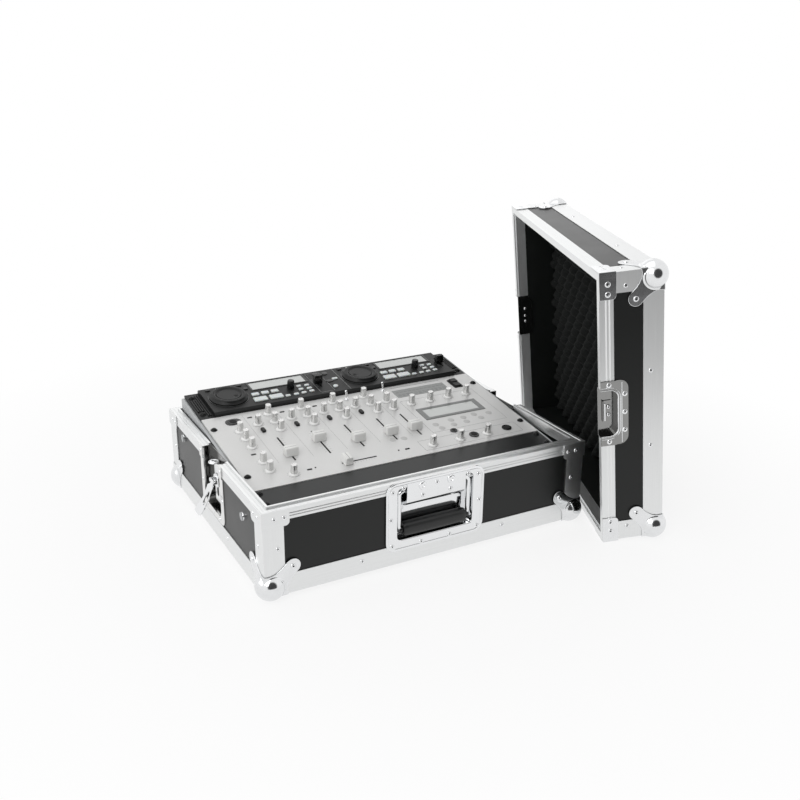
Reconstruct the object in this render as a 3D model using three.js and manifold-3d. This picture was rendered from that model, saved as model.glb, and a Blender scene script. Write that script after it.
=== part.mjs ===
// DJ mixer flight case: a laminated plywood tray with aluminium edging holds a rack mixer and a twin
// player controller on sloped rails, and its lid is taken off and stands beside it.
// Millimetres, +Z up, +X to the right and +Y to the back. The origin is on the surface that the case
// stands on, under the centre of the tray.
import * as THREE from "three";
import { mergeVertices } from "three/addons/utils/BufferGeometryUtils.js";
import Module from "manifold-3d";

const wasm = await Module();
wasm.setup();

// Rack gear: standard widths and heights, set on rails that slope up to the back
const rackWidth = 482.6;
const rackUnitHeight = 44.45;
const rackGap = 0.8;
const rackTilt = THREE.MathUtils.degToRad(7);
const mixerUnits = 5;
const playerUnits = 2;
const rackFrontY = 91.5;

// Driving sizes of the case: the gear and the room round it give its width and depth
const rackSideRoom = 20.7;
const rackRearRoom = 15.7;
const caseWidth = rackWidth + 2 * rackSideRoom;
const gearLength = (mixerUnits + playerUnits) * rackUnitHeight;
const caseDepth = rackFrontY + gearLength * Math.cos(rackTilt) + rackRearRoom;
const trayHeight = 128;
const lidHeight = 93;
const rackFrontDrop = 12.8;
const rackFrontZ = trayHeight - rackFrontDrop;
const panelThickness = 9;

// Fits
const seat = 0.3;
const running = 0.5;
const overrun = 5;

// Edge and corner hardware
const angleWall = 1.2;
const angleLeg = 30;
const plateWall = 1.2;
const ballRadius = 21.5;
const ballInset = 12;
const petalFoot = 33;
const petalReach = 41;
const petalRadius = 11;
const petalWaistShare = 0.4;
const petalShoulderShare = 0.85;
const braceLength = 38;
const braceDrop = 24;
const braceRound = 6;

// Rim extrusions: the tray carries the tongue, the lid the groove
const rimWidth = 14;
const trayRimBand = 16;
const lidRimBand = 20.5;
const rimWall = 1.2;
const rimWeb = 3.6;
const lidRimWeb = 5;
const rivetRadius = 2.4;
const tongueWidth = 3.2;
const tongueHeight = 2.8;
const tongueInset = 0.6;
const ridgeDepth = 0.5;
const ridgeWidth = 2.4;
const bandGrooveShares = [0.3, 0.55];
const topGrooveShares = [0.48];
const braceRivetShares = [0.42, 0.8];

// Rack panels and rails
const faceThickness = 3;
const blankThickness = 2;
const screwInset = 7.5;
const screwHoleRadius = 3.3;
const earHoleShares = [0.17, 0.83];
const railWall = 2;
const railFlange = 24;
const railSideGap = 1.3;
const railFrontDrop = 52;
const railRearDrop = 34;
const railFrontHeight = trayHeight - railFrontDrop;
const railRearHeight = trayHeight - railRearDrop;
const railFrontRun = 72;
const railRearInset = 3;
const railBoltRadius = 3;
const railBoltHeadRadius = 6;
const railBoltHeadHeight = 3.4;
const railBoltRise = 10.8;
const railBoltShares = [0.148, 0.864];
const chassisSideInset = 25.3;
const mixerChassisDrop = 78;
const playerChassisDrop = 70;
const chassisInset = 5;

// Handle
const handleRecessWidth = 124;
const handleDishMargin = 18.5;
const handleDishWidth = handleRecessWidth + 2 * handleDishMargin;
const handleDishLap = 4;
const handleDishBottomZ = angleLeg - handleDishLap;
const handleDishRound = 16;
const handleRecessRound = 6;
const handleRecessTopDrop = 10;
const handleRecessRise = 8;
const handleRecessTopZ = trayHeight - handleRecessTopDrop;
const handleRecessFloorZ = angleLeg + handleRecessRise;
const handleRecessDepth = 17;
const handleCoverMargin = 13;
const handleCoverWidth = handleRecessWidth - 2 * handleCoverMargin;
const handleCoverDrop = 22;
const bailRadius = 3.5;
const bailSideRoom = 5;
const bailSpan = handleRecessWidth - 2 * bailSideRoom;
const bailFloorRoom = 13.5;
const bailPivotDepth = 5;
const bailPivotDrop = 6.5;
const bailPivotZ = handleRecessTopZ - bailPivotDrop;
const bailDrop = bailPivotZ - handleRecessFloorZ - bailFloorRoom;
const bailRound = 5;
const gripEndRoom = 5.5;
const gripLength = bailSpan - 2 * gripEndRoom;
const gripHeight = 22;
const gripThickness = 18;
const gripRound = 7;
const bailPinRadius = 2.2;

// Butterfly latch
const latchWidth = 100;
const latchRound = 13;
const latchPocketWidth = 73;
const latchPocketDepth = 13.3;
const latchPocketRound = 12;
const latchFloorGap = 0.5;
const latchFlangeHeight = 10.5;
const latchPivotDrop = 42;
const latchBottomZ = angleLeg + latchFloorGap;
const latchPocketFloorZ = latchBottomZ + latchFlangeHeight;
const latchPivotZ = trayHeight - latchPivotDrop;
const hookWidth = 28;
const hookThickness = 1.6;
const hookFloorRoom = 9;
const hookRollDrop = 14;
const hookBottomZ = latchPocketFloorZ + hookFloorRoom;
const hookRollZ = trayHeight - hookRollDrop;
const hookRollRadius = 4.4;
const hookRollBore = 2.4;
const hookStroke = 22;
const hookDepth = 8.5;
const spindleRadius = 4;
const spindleHeadRadius = 11;
const spindleHeadThickness = 2.6;
const footShare = 0.85;
const wingPinRadius = 1.5;
const wingPinDepth = 1.5;
const wingKnuckleRadius = 3.2;
const wingKnuckleLength = 11;
const wingEarThickness = 2;
const wingLength = 54;
const wingWidth = 28;
const wingThickness = 1.6;
const wingNeckShares = [0.66, 0.75, 0.93];
const wingRootShare = 0.9;
const wingEndShare = 0.85;
const wingHang = THREE.MathUtils.degToRad(27);

// Strike dish in the lid
const strikeHeight = 41;
const strikePocketHeight = 26;
const strikePocketDepth = 13.3;
const catchWidth = 32;
const catchHeight = 13;
const catchFromRim = 6;
const catchThickness = 1.6;
const catchProud = 4.2;

// Lid foam
const foamPitch = 27.5;
const foamBacking = 10;
const foamSwell = 8;
const foamMargin = 5;

// Standing place of the lid beside the tray
const lidYaw = THREE.MathUtils.degToRad(21.5);
const lidClear = 3;
const lidForward = 70;

// Mixer controls, as shares of its face: across from the left end and up the slope from the front edge
const mixerLength = mixerUnits * rackUnitHeight - rackGap;
const knobHeight = 16.5;
const knobRadius = 4.6;
const knobTopRadius = 3.9;
const knobSkirtRadius = 7;
const knobSkirtHeight = 2.6;
const knobFlareShare = 0.35;
const channelAcrossShares = [0.2145, 0.3305, 0.4465, 0.5636];
const channelUpShares = [0.6751, 0.7948, 0.9212];
const filterAcrossShares = [0.1591, 0.2748, 0.3906, 0.507];
const filterUpShare = 0.8015;
const sideAcrossShare = 0.0891;
const sideUpShares = [0.1897, 0.3084, 0.5175, 0.6354, 0.7478];
const effectAcrossShares = [0.6962, 0.7692, 0.8419, 0.9148];
const effectUpShare = 0.6909;
const looseKnobShares = [
  [0.1471, 0.093],
  [0.6227, 0.6737],
  [0.6227, 0.7916],
  [0.6245, 0.0948],
  [0.7273, 0.0948],
  [0.8309, 0.0948],
];
const faderAcrossShares = [0.1834, 0.3005, 0.4165, 0.5346, 0.6237];
const faderRestShares = [0.3364, 0.4493, 0.3477, 0.35, 0.3522];
const faderLowShare = 0.28;
const faderLow = mixerLength * faderLowShare;
const faderTravel = 60;
const slotWidth = 2.4;
const slotMargin = 3;
const capWidth = 19;
const capLength = 14;
const capHeight = 12;
const capFoot = 0.6;
const capTaper = 1.6;
const capRidgeShare = 0.3;
const capDip = 1.2;
const stemThickness = 1.2;
const stemWidth = 5;
const stemDrop = 2.2;
const crossUpShare = 0.1016;
const crossLowShare = 0.3191;
const crossUp = mixerLength * crossUpShare;
const crossLow = rackWidth * crossLowShare;
const crossTravel = 45;
const crossRestRoom = 2;
const crossRest = crossLow + crossRestRoom;
const crossCapWidth = 13;
const crossCapLength = 19;
const displayAcrossShare = 0.804;
const displayUpShare = 0.5103;
const displayWidthShare = 0.2279;
const displayAcross = rackWidth * displayAcrossShare;
const displayUp = mixerLength * displayUpShare;
const displayWidth = rackWidth * displayWidthShare;
const displayLength = 36;
const displayDepth = 0.8;
const jackRadius = 5.5;
const jackShares = [
  [0.0881, 0.8896],
  [0.7356, 0.2168],
  [0.7843, 0.1129],
  [0.9117, 0.1129],
];

// Twin player controller
const playerBodyInset = 22.3;
const playerBodyHeight = 7;
const playerBodyTaper = 3;
const playerEarRidge = 1.6;
const playerEarRidges = 5;
const playerRidgeShares = [0.27, 0.73];
const playerModuleShare = 0.489;
const jogAcrossShare = 0.1243;
const playerModule = rackWidth * playerModuleShare;
const jogAcross = rackWidth * jogAcrossShare;
const jogRadius = 28;
const jogHeight = 6.5;
const jogRim = 3;
const jogGap = 0.8;
const jogPinRadius = 4;
const pinDrop = 4.5;
const playerDisplayShare = 0.3941;
const playerDisplayUp = 24;
const playerDisplayWidthShare = 0.4068;
const playerDisplayWidth = playerModule * playerDisplayWidthShare;
const playerDisplayLength = 26;
const encoderShare = 0.4534;
const encoderUp = -2;
const encoderRadius = 6.2;
const encoderHeight = 13;
const encoderPinRadius = 2;
const encoderTopShare = 0.88;
const pitchShare = 0.6653;
const pitchTravel = 28;
const pitchCapWidth = 14;
const pitchCapLength = 9;
const pitchCapHeight = 14;

// Finishes
const finish = {
  laminate: { color: 0x2a2c2b, roughness: 0.45, metalness: 0 },
  aluminium: { color: 0xd9dadb, roughness: 0.32, metalness: 1 },
  chrome: { color: 0xe6e7e8, roughness: 0.12, metalness: 1 },
  steel: { color: 0xb9babb, roughness: 0.3, metalness: 1 },
  rubber: { color: 0x161717, roughness: 0.7, metalness: 0 },
  foam: { color: 0x1d1f1e, roughness: 0.95, metalness: 0 },
  paint: { color: 0x101211, roughness: 0.4, metalness: 0 },
  silver: { color: 0xd2d2d2, roughness: 0.4, metalness: 0.2 },
  black: { color: 0x1c1c1c, roughness: 0.5, metalness: 0 },
};

// Helpers for solids

function toSolid(geometry) {
  const bare = geometry.index ? geometry.toNonIndexed() : geometry.clone();
  bare.deleteAttribute("normal");
  bare.deleteAttribute("uv");
  const merged = mergeVertices(bare);
  const mesh = new wasm.Mesh({
    numProp: 3,
    vertProperties: merged.attributes.position.array,
    triVerts: new Uint32Array(merged.index.array),
  });
  return new wasm.Manifold(mesh);
}

function toGeometry(solid) {
  const mesh = solid.getMesh();
  const geometry = new THREE.BufferGeometry();
  geometry.setAttribute("position", new THREE.BufferAttribute(mesh.vertProperties, 3));
  geometry.setIndex(new THREE.BufferAttribute(mesh.triVerts, 1));
  const flat = geometry.toNonIndexed();
  flat.computeVertexNormals();
  return flat;
}

function join(...geometries) {
  return toGeometry(geometries.map(toSolid).reduce((all, next) => all.add(next)));
}

function cut(geometry, ...tools) {
  return toGeometry(tools.map(toSolid).reduce((left, tool) => left.subtract(tool), toSolid(geometry)));
}

function keep(geometry, tool) {
  return toGeometry(toSolid(geometry).intersect(toSolid(tool)));
}

// A box between two corners.
function block(low, high) {
  const size = high.map((value, axis) => value - low[axis]);
  const middle = high.map((value, axis) => (value + low[axis]) / 2);
  return new THREE.BoxGeometry(...size).translate(...middle);
}

function shapeOf(points) {
  return new THREE.Shape(points.map(([across, up]) => new THREE.Vector2(across, up)));
}

function extruded(outline, height, curveSegments = 3) {
  return new THREE.ExtrudeGeometry(outline, { depth: height, bevelEnabled: false, curveSegments });
}

// An outline drawn as x and z, standing between two depths in y.
function frontPlate(outline, nearY, farY, curveSegments) {
  return extruded(outline, farY - nearY, curveSegments).rotateX(Math.PI / 2).translate(0, farY, 0);
}

// An outline drawn as y and z, standing between two places in x.
function sidePlate(outline, lowX, highX, curveSegments) {
  const turn = new THREE.Matrix4().makeBasis(
    new THREE.Vector3(0, 1, 0),
    new THREE.Vector3(0, 0, 1),
    new THREE.Vector3(1, 0, 0),
  );
  return extruded(outline, highX - lowX, curveSegments).applyMatrix4(turn).translate(lowX, 0, 0);
}

// A rectangle with round corners between two heights, centred across.
function roundedShape(width, low, high, radius) {
  const side = width / 2 - radius;
  const shape = new THREE.Shape();
  shape.absarc(side, high - radius, radius, 0, Math.PI / 2);
  shape.absarc(-side, high - radius, radius, Math.PI / 2, Math.PI);
  shape.absarc(-side, low + radius, radius, Math.PI, Math.PI * 1.5);
  shape.absarc(side, low + radius, radius, Math.PI * 1.5, Math.PI * 2);
  return shape;
}

// The same with square upper corners.
function scoopShape(width, low, high, radius) {
  const half = width / 2;
  const shape = new THREE.Shape();
  shape.moveTo(half, high);
  shape.lineTo(-half, high);
  shape.absarc(radius - half, low + radius, radius, Math.PI, Math.PI * 1.5);
  shape.absarc(half - radius, low + radius, radius, Math.PI * 1.5, Math.PI * 2);
  return shape;
}

// A cylinder or cone standing on a height.
function drum(lowRadius, highRadius, low, high, sides) {
  const made = new THREE.CylinderGeometry(highRadius, lowRadius, high - low, sides);
  return made.rotateX(Math.PI / 2).translate(0, 0, (low + high) / 2);
}

// A cylinder along x or along y between two places.
function barX(radius, low, high, y, z, sides = 12) {
  return drum(radius, radius, low, high, sides).rotateY(Math.PI / 2).translate(0, y, z);
}

function barY(radius, low, high, x, z, sides = 12) {
  return drum(radius, radius, low, high, sides).rotateX(-Math.PI / 2).translate(x, 0, z);
}

function signedVolume(positions, index) {
  const corner = [0, 1, 2].map(() => new THREE.Vector3());
  let sum = 0;
  for (let start = 0; start < index.length; start += 3) {
    corner.forEach((point, offset) => point.fromArray(positions, 3 * index[start + offset]));
    sum += corner[0].dot(corner[1].cross(corner[2]));
  }
  return sum;
}

// A closed solid from points and triangles, turned so that its faces point out.
function closedSolid(points, index) {
  const positions = points.flatMap((point) => point.toArray());
  const outward = signedVolume(positions, index) < 0 ? index.slice().reverse() : index;
  const geometry = new THREE.BufferGeometry();
  geometry.setAttribute("position", new THREE.Float32BufferAttribute(positions, 3));
  geometry.setIndex(outward);
  return geometry;
}

function wallBetween(firstRing, secondRing, count) {
  const index = [];
  for (let point = 0; point < count; point++) {
    const beside = (point + 1) % count;
    index.push(firstRing + point, firstRing + beside, secondRing + beside);
    index.push(firstRing + point, secondRing + beside, secondRing + point);
  }
  return index;
}

// A solid loop through rings of as many points each.
function ringLoop(rings) {
  const count = rings[0].length;
  const index = rings.flatMap((ring, at) => wallBetween(at * count, ((at + 1) % rings.length) * count, count));
  return closedSolid(rings.flat(), index);
}

// A profile of inward and upward places carried round a rectangle, mitred at its corners.
function mitredFrame(profile, width, depth, baseZ) {
  const corners = [
    [0, 0, 1, 1],
    [width, 0, -1, 1],
    [width, depth, -1, -1],
    [0, depth, 1, -1],
  ];
  const rings = corners.map(([x, y, inX, inY]) =>
    profile.map(([inward, up]) => new THREE.Vector3(x + inX * inward, y + inY * inward, baseZ + up)),
  );
  return ringLoop(rings);
}

// A round rod bent into a rectangle in the x and z plane, with its corners rounded.
function rodLoop(halfSpan, low, high, bend, radius, y) {
  const turns = 3;
  const sides = 8;
  const centres = [
    [halfSpan - bend, high - bend, 0],
    [bend - halfSpan, high - bend, 1],
    [bend - halfSpan, low + bend, 2],
    [halfSpan - bend, low + bend, 3],
  ];
  const rings = centres.flatMap(([x, z, quarter]) =>
    Array.from({ length: turns + 1 }, (_, step) => {
      const angle = ((quarter + step / turns) * Math.PI) / 2;
      const outward = new THREE.Vector3(Math.cos(angle), 0, Math.sin(angle));
      const centre = new THREE.Vector3(x, y, z).addScaledVector(outward, bend);
      return Array.from({ length: sides }, (__, side) => {
        const round = ((side + 0.5) * 2 * Math.PI) / sides;
        const point = centre.clone().addScaledVector(outward, radius * Math.cos(round));
        return point.setY(y + radius * Math.sin(round));
      });
    }),
  );
  return ringLoop(rings);
}

function mesh(name, geometry, look) {
  const made = new THREE.Mesh(geometry, new THREE.MeshStandardMaterial(finish[look]));
  made.name = name;
  return made;
}

function group(...children) {
  const made = new THREE.Group();
  made.add(...children);
  return made;
}

// Quarter turns about a tray's middle take a piece from its front left corner to the other three.
const cornerPlaces = [
  { name: "front_left", turn: 0, x: 0, y: 0 },
  { name: "front_right", turn: 1, x: caseWidth, y: 0 },
  { name: "rear_right", turn: 2, x: caseWidth, y: caseDepth },
  { name: "rear_left", turn: 3, x: 0, y: caseDepth },
];

function atCorner(geometry, place) {
  return geometry.clone().rotateZ((place.turn * Math.PI) / 2).translate(place.x, place.y, 0);
}

function atOtherSide(geometry) {
  return geometry.clone().rotateZ(Math.PI).translate(caseWidth, caseDepth, 0);
}

// Wall layers, counted inward from the outer face
const panelFace = angleWall + seat;
const panelBack = panelFace + panelThickness;
const plateProud = seat + plateWall;
const middleX = caseWidth / 2;
const middleY = caseDepth / 2;

// Edging

function edgeFrame() {
  const profile = [
    [0, 0],
    [angleLeg, 0],
    [angleLeg, angleWall],
    [angleWall, angleWall],
    [angleWall, angleLeg],
    [0, angleLeg],
  ];
  return mitredFrame(profile, caseWidth, caseDepth, 0);
}

function cornerAngle(low, high) {
  const outline = shapeOf([
    [0, 0],
    [angleLeg, 0],
    [angleLeg, angleWall],
    [angleWall, angleWall],
    [angleWall, angleLeg],
    [0, angleLeg],
  ]);
  return extruded(outline, high - low).translate(0, 0, low);
}

// A groove of the fine ridging, as three points of a profile.
function groove(along, place) {
  return [along - ridgeWidth / 2, along, along + ridgeWidth / 2].map((where, at) =>
    place(where, at === 1 ? ridgeDepth : 0),
  );
}

// The profile of a rim from its rim plane down, with the points of its top passed in.
function rimProfile(band, web, topPoints) {
  const onBand = (where, depth) => [depth, where - band];
  const grooves = bandGrooveShares.flatMap((share) => groove(band * share, onBand));
  const flangeFace = panelBack + seat;
  return [
    [0, -band],
    ...grooves,
    ...topPoints,
    [rimWidth, -web],
    [flangeFace + rimWall, -web],
    [flangeFace + rimWall, -band],
    [flangeFace, -band],
    [flangeFace, -web],
    [rimWall, -web],
    [rimWall, -band],
  ];
}

const tongueEnd = rimWidth - tongueInset;
const tongueStart = tongueEnd - tongueWidth;

function trayRimProfile() {
  const onTop = (where, depth) => [where, -depth];
  return rimProfile(trayRimBand, rimWeb, [
    [0, 0],
    ...topGrooveShares.flatMap((share) => groove(tongueStart * share, onTop)),
    [tongueStart, 0],
    [tongueStart, tongueHeight],
    [tongueEnd, tongueHeight],
    [tongueEnd, 0],
    [rimWidth, 0],
  ]);
}

// The lid's rim steps down at its inner edge to take the tray's tongue.
function lidRimProfile() {
  const stepStart = tongueStart - seat;
  const stepFloor = -(tongueHeight + seat);
  return rimProfile(lidRimBand, lidRimWeb, [
    [0, 0],
    [stepStart, 0],
    [stepStart, stepFloor],
    [rimWidth, stepFloor],
  ]);
}

// The brace round a rim's outer corner, with the rivets that hold it.
function cornerBrace(rimZ) {
  const face = new THREE.Shape();
  face.moveTo(-plateProud, 0);
  face.lineTo(-plateProud, -braceDrop);
  face.lineTo(braceLength - braceRound, -braceDrop);
  face.absarc(braceLength - braceRound, braceRound - braceDrop, braceRound, -Math.PI / 2, 0);
  face.lineTo(braceLength, 0);
  const rivetEnd = -plateProud - seat;
  const rivetZ = rimZ - braceDrop / 2;
  const rivets = braceRivetShares.flatMap((share) => [
    barY(rivetRadius, rivetEnd, rimWall / 2, braceLength * share, rivetZ, 6),
    barX(rivetRadius, rivetEnd, rimWall / 2, braceLength * share, rivetZ, 6),
  ]);
  return join(
    frontPlate(face, -plateProud, -seat).translate(0, 0, rimZ),
    sidePlate(face, -plateProud, -seat).translate(0, 0, rimZ),
    ...rivets,
  );
}

// A rim with its four braces, in two halves that leave room for the latches.
function rimHalves(profile, rimZ) {
  const whole = join(
    mitredFrame(profile, caseWidth, caseDepth, rimZ),
    ...cornerPlaces.map((place) => atCorner(cornerBrace(rimZ), place)),
  );
  const frontEnd = middleY - latchPocketWidth / 2 - plateWall - seat;
  const frontHalf = block(
    [-overrun, -overrun, rimZ - braceDrop - overrun],
    [caseWidth + overrun, frontEnd, rimZ + overrun],
  );
  return { front: keep(whole, frontHalf), rear: keep(whole, atOtherSide(frontHalf)) };
}

// The plate of one face of a ball corner: a foot along each edge and a round lobe between them.
function petalShape() {
  const shape = new THREE.Shape();
  const lobeSide = petalRadius * Math.SQRT1_2;
  const waist = petalReach * petalWaistShare;
  const shoulder = petalFoot * petalShoulderShare;
  shape.moveTo(-plateProud, -plateProud);
  shape.lineTo(petalFoot, -plateProud);
  shape.quadraticCurveTo(shoulder, waist, petalReach + lobeSide, petalReach - lobeSide);
  shape.absarc(petalReach, petalReach, petalRadius, -Math.PI / 4, (3 * Math.PI) / 4);
  shape.quadraticCurveTo(waist, shoulder, -plateProud, petalFoot);
  return shape;
}

function ballCorner() {
  const petal = petalShape();
  const ball = new THREE.SphereGeometry(ballRadius, 16, 10).translate(ballInset, ballInset, ballInset);
  const hardware = join(
    ball,
    frontPlate(petal, -plateProud, -seat),
    sidePlate(petal, -plateProud, -seat),
    extruded(petal, plateWall).translate(0, 0, -plateProud),
  );
  const far = petalReach + ballRadius + overrun;
  return cut(hardware, block([-seat, -seat, -seat], [far, far, far]));
}

// Panels of a shell that is open at its rim

function shellPanels(topZ) {
  const standing = panelBack + seat;
  const farX = caseWidth - panelFace;
  const farY = caseDepth - panelFace;
  const left = block([panelFace, standing, standing], [panelBack, caseDepth - standing, topZ]);
  const front = block([panelFace, panelFace, standing], [farX, panelBack, topZ]);
  return {
    floor: block([panelFace, panelFace, panelFace], [farX, farY, panelBack]),
    front,
    left,
    rear: atOtherSide(front),
    right: atOtherSide(left),
  };
}

// Dishes let into the sides

// A pocket open at the rim plane, with a flange that steps out over the rim.
function sidePocket(rimZ, band, flangeBottom, pocketFloor) {
  const stepTop = rimZ - band - seat;
  const stepBottom = stepTop - 2 * plateWall;
  const section = shapeOf([
    [0, flangeBottom],
    [plateWall, flangeBottom],
    [plateWall, stepTop],
    [-seat, stepTop],
    [-seat, rimZ],
    [-plateProud, rimZ],
    [-plateProud, stepBottom],
    [0, stepBottom],
  ]);
  const flangeOutline = scoopShape(latchWidth, flangeBottom, rimZ, latchRound);
  const strip = frontPlate(section, -latchWidth, latchWidth);
  const flange = keep(strip, sidePlate(flangeOutline, -overrun, overrun));
  const tub = sidePlate(pocketOutline(rimZ, pocketFloor, plateWall), 0, latchPocketDepth + plateWall);
  const hollow = sidePlate(pocketOutline(rimZ + overrun, pocketFloor, 0), -overrun, latchPocketDepth);
  return cut(join(flange, tub), hollow);
}

function pocketOutline(top, pocketFloor, grow) {
  return scoopShape(latchPocketWidth + 2 * grow, pocketFloor - grow, top, latchPocketRound + grow);
}

// The notch that a pocket needs in a side panel.
function pocketNotch(rimZ, pocketFloor) {
  const outline = pocketOutline(rimZ, pocketFloor, plateWall + seat);
  return sidePlate(outline, -overrun, panelBack + overrun).translate(0, middleY, 0);
}

function latchDish() {
  const pocket = sidePocket(trayHeight, trayRimBand, latchBottomZ, latchPocketFloorZ);
  return pocket.translate(0, middleY, 0);
}

// The sliding plate of a latch, with a slot for the spindle and a rolled top edge.
function latchHook() {
  const backFace = hookDepth + hookThickness;
  const half = hookWidth / 2;
  const rollX = backFace - hookRollRadius;
  const slotHalf = spindleRadius + running;
  const plate = block([hookDepth, middleY - half, hookBottomZ], [backFace, middleY + half, hookRollZ]);
  const roll = barY(hookRollRadius, middleY - half, middleY + half, rollX, hookRollZ, 14);
  const slot = block(
    [hookDepth - overrun, middleY - slotHalf, latchPivotZ - hookStroke - slotHalf],
    [backFace + overrun, middleY + slotHalf, latchPivotZ + slotHalf],
  );
  const bore = barY(hookRollBore, middleY - half - overrun, middleY + half + overrun, rollX, hookRollZ, 10);
  return cut(join(plate, roll), slot, bore);
}

// The turning spindle of a latch: foot, stem, head and the two ears that hold the wing's pin.
function latchSpindle() {
  const footFace = hookDepth + hookThickness + seat;
  const footBack = latchPocketDepth - seat;
  const headBack = hookDepth - seat;
  const headFace = headBack - spindleHeadThickness;
  const earIn = wingKnuckleLength / 2 + running;
  const earOut = earIn + wingEarThickness;
  const ears = [-1, 1].map((side) =>
    block(
      [wingPinDepth - wingKnuckleRadius, middleY + (side < 0 ? -earOut : earIn), latchPivotZ - wingKnuckleRadius],
      [headFace + seat, middleY + (side < 0 ? -earIn : earOut), latchPivotZ + wingKnuckleRadius],
    ),
  );
  return join(
    barX(spindleHeadRadius * footShare, footFace, footBack, middleY, latchPivotZ, 16),
    barX(spindleRadius, headFace, footBack, middleY, latchPivotZ, 12),
    barX(spindleHeadRadius, headFace, headBack, middleY, latchPivotZ, 20),
    ...ears,
    barY(wingPinRadius, middleY - earOut, middleY + earOut, wingPinDepth, latchPivotZ, 8),
  );
}

// The wing of a latch: a tab with a wide end that hangs out from its pin.
function latchWing() {
  const root = wingKnuckleLength / 2;
  const end = wingWidth / 2;
  const neck = wingNeckShares.map((share) => -wingLength * share);
  const half = wingThickness / 2;
  const outline = shapeOf([
    [root, 0],
    [root * wingRootShare, neck[0]],
    [end, neck[1]],
    [end, neck[2]],
    [end * wingEndShare, -wingLength],
    [-end * wingEndShare, -wingLength],
    [-end, neck[2]],
    [-end, neck[1]],
    [-root * wingRootShare, neck[0]],
    [-root, 0],
  ]);
  const wing = join(
    sidePlate(outline, -half, half),
    barY(wingKnuckleRadius, -root, root, 0, 0, 14),
  );
  const bored = cut(wing, barY(wingPinRadius + seat, -root - overrun, root + overrun, 0, 0, 8));
  return bored.rotateY(wingHang).translate(wingPinDepth, middleY, latchPivotZ);
}

function strikeDish() {
  const flangeBottom = lidHeight - strikeHeight;
  const pocketFloor = lidHeight - strikePocketHeight;
  const dish = sidePocket(lidHeight, lidRimBand, flangeBottom, pocketFloor);
  const half = catchWidth / 2;
  const lipTop = lidHeight - catchFromRim;
  const embed = latchPocketDepth + plateWall / 2;
  const face = latchPocketDepth - catchThickness;
  const plate = block([face, -half, lipTop - catchHeight], [embed, half, lipTop]);
  const lip = block([latchPocketDepth - catchProud, -half, lipTop - catchThickness], [embed, half, lipTop]);
  return join(dish, plate, lip).translate(0, middleY, 0);
}

// Handle

function handleRecess(grow) {
  return roundedShape(
    handleRecessWidth + 2 * grow,
    handleRecessFloorZ - grow,
    handleRecessTopZ + grow,
    handleRecessRound + grow,
  );
}

// The notch for the recess in the front panel and in the rim above it.
function handleNotch() {
  const room = plateWall + seat;
  return frontPlate(handleRecess(room), -overrun, handleRecessDepth + overrun).translate(middleX, 0, 0);
}

function handleDish() {
  const flangeOutline = roundedShape(handleDishWidth, handleDishBottomZ, trayHeight, handleDishRound);
  const dish = cut(
    join(
      frontPlate(flangeOutline, -plateProud, -seat, 5),
      frontPlate(handleRecess(plateWall), -seat, handleRecessDepth + plateWall),
    ),
    frontPlate(handleRecess(0), -overrun, handleRecessDepth),
    barX(
      bailPinRadius + running,
      -handleRecessWidth / 2 - overrun,
      handleRecessWidth / 2 + overrun,
      bailPivotDepth,
      bailPivotZ,
      10,
    ),
  );
  const cover = block(
    [-handleCoverWidth / 2, -plateProud, handleRecessTopZ - handleCoverDrop],
    [handleCoverWidth / 2, -seat, handleRecessTopZ + plateWall],
  );
  return join(dish, cover).translate(middleX, 0, 0);
}

function bail() {
  const pinEnd = handleRecessWidth / 2 + plateWall;
  const loop = rodLoop(bailSpan / 2, bailPivotZ - bailDrop, bailPivotZ, bailRound, bailRadius, bailPivotDepth);
  const pins = barX(bailPinRadius, -pinEnd, pinEnd, bailPivotDepth, bailPivotZ, 10);
  return join(loop, pins).translate(middleX, 0, 0);
}

function grip() {
  const half = gripLength / 2;
  const centreZ = bailPivotZ - bailDrop;
  const outline = roundedShape(gripThickness, -gripHeight / 2, gripHeight / 2, gripRound);
  const body = sidePlate(outline, -half, half, 4).translate(0, bailPivotDepth, centreZ);
  const bore = barX(bailRadius + seat, -half - overrun, half + overrun, bailPivotDepth, centreZ, 12);
  return cut(body, bore).translate(middleX, 0, 0);
}

// Rack

const rackPlace = new THREE.Matrix4()
  .makeTranslation(rackSideRoom, rackFrontY, rackFrontZ)
  .multiply(new THREE.Matrix4().makeRotationX(rackTilt));
const playerStart = mixerUnits * rackUnitHeight;
const playerLength = playerUnits * rackUnitHeight - rackGap;
const playerUp = playerStart + playerLength / 2;
const railPlane = -faceThickness - seat;

function rackPoint(up, out) {
  const point = new THREE.Vector3(0, up, out).applyMatrix4(rackPlace);
  return [point.y, point.z];
}

const railFront = rackPoint(-railFrontRun, railPlane - railWall / 2);
const railRear = rackPoint(playerStart + playerLength - railRearInset, railPlane - railWall / 2);

// The bolts' places along the rail, a set rise over its lower edge.
function railBoltPlaces() {
  return railBoltShares.map((share) => ({
    y: THREE.MathUtils.lerp(railFront[0], railRear[0], share),
    z: THREE.MathUtils.lerp(railFrontHeight, railRearHeight, share) + railBoltRise,
  }));
}

function leftRail() {
  const webX = rimWidth + railSideGap;
  const outline = shapeOf([
    railFront,
    railRear,
    [railRear[0], railRearHeight],
    [railFront[0], railFrontHeight],
  ]);
  const web = sidePlate(outline, webX, webX + railWall);
  const flange = block(
    [webX - rackSideRoom, -railFrontRun, railPlane - railWall],
    [webX - rackSideRoom + railFlange, playerStart + playerLength - railRearInset, railPlane],
  ).applyMatrix4(rackPlace);
  const headBack = panelFace - seat;
  const bolts = railBoltPlaces().flatMap(({ y, z }) => [
    barX(railBoltRadius, -seat, webX + railWall / 2, y, z, 10),
    barX(railBoltHeadRadius, headBack - railBoltHeadHeight, headBack, y, z, 18),
  ]);
  return join(web, flange, ...bolts);
}

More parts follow.
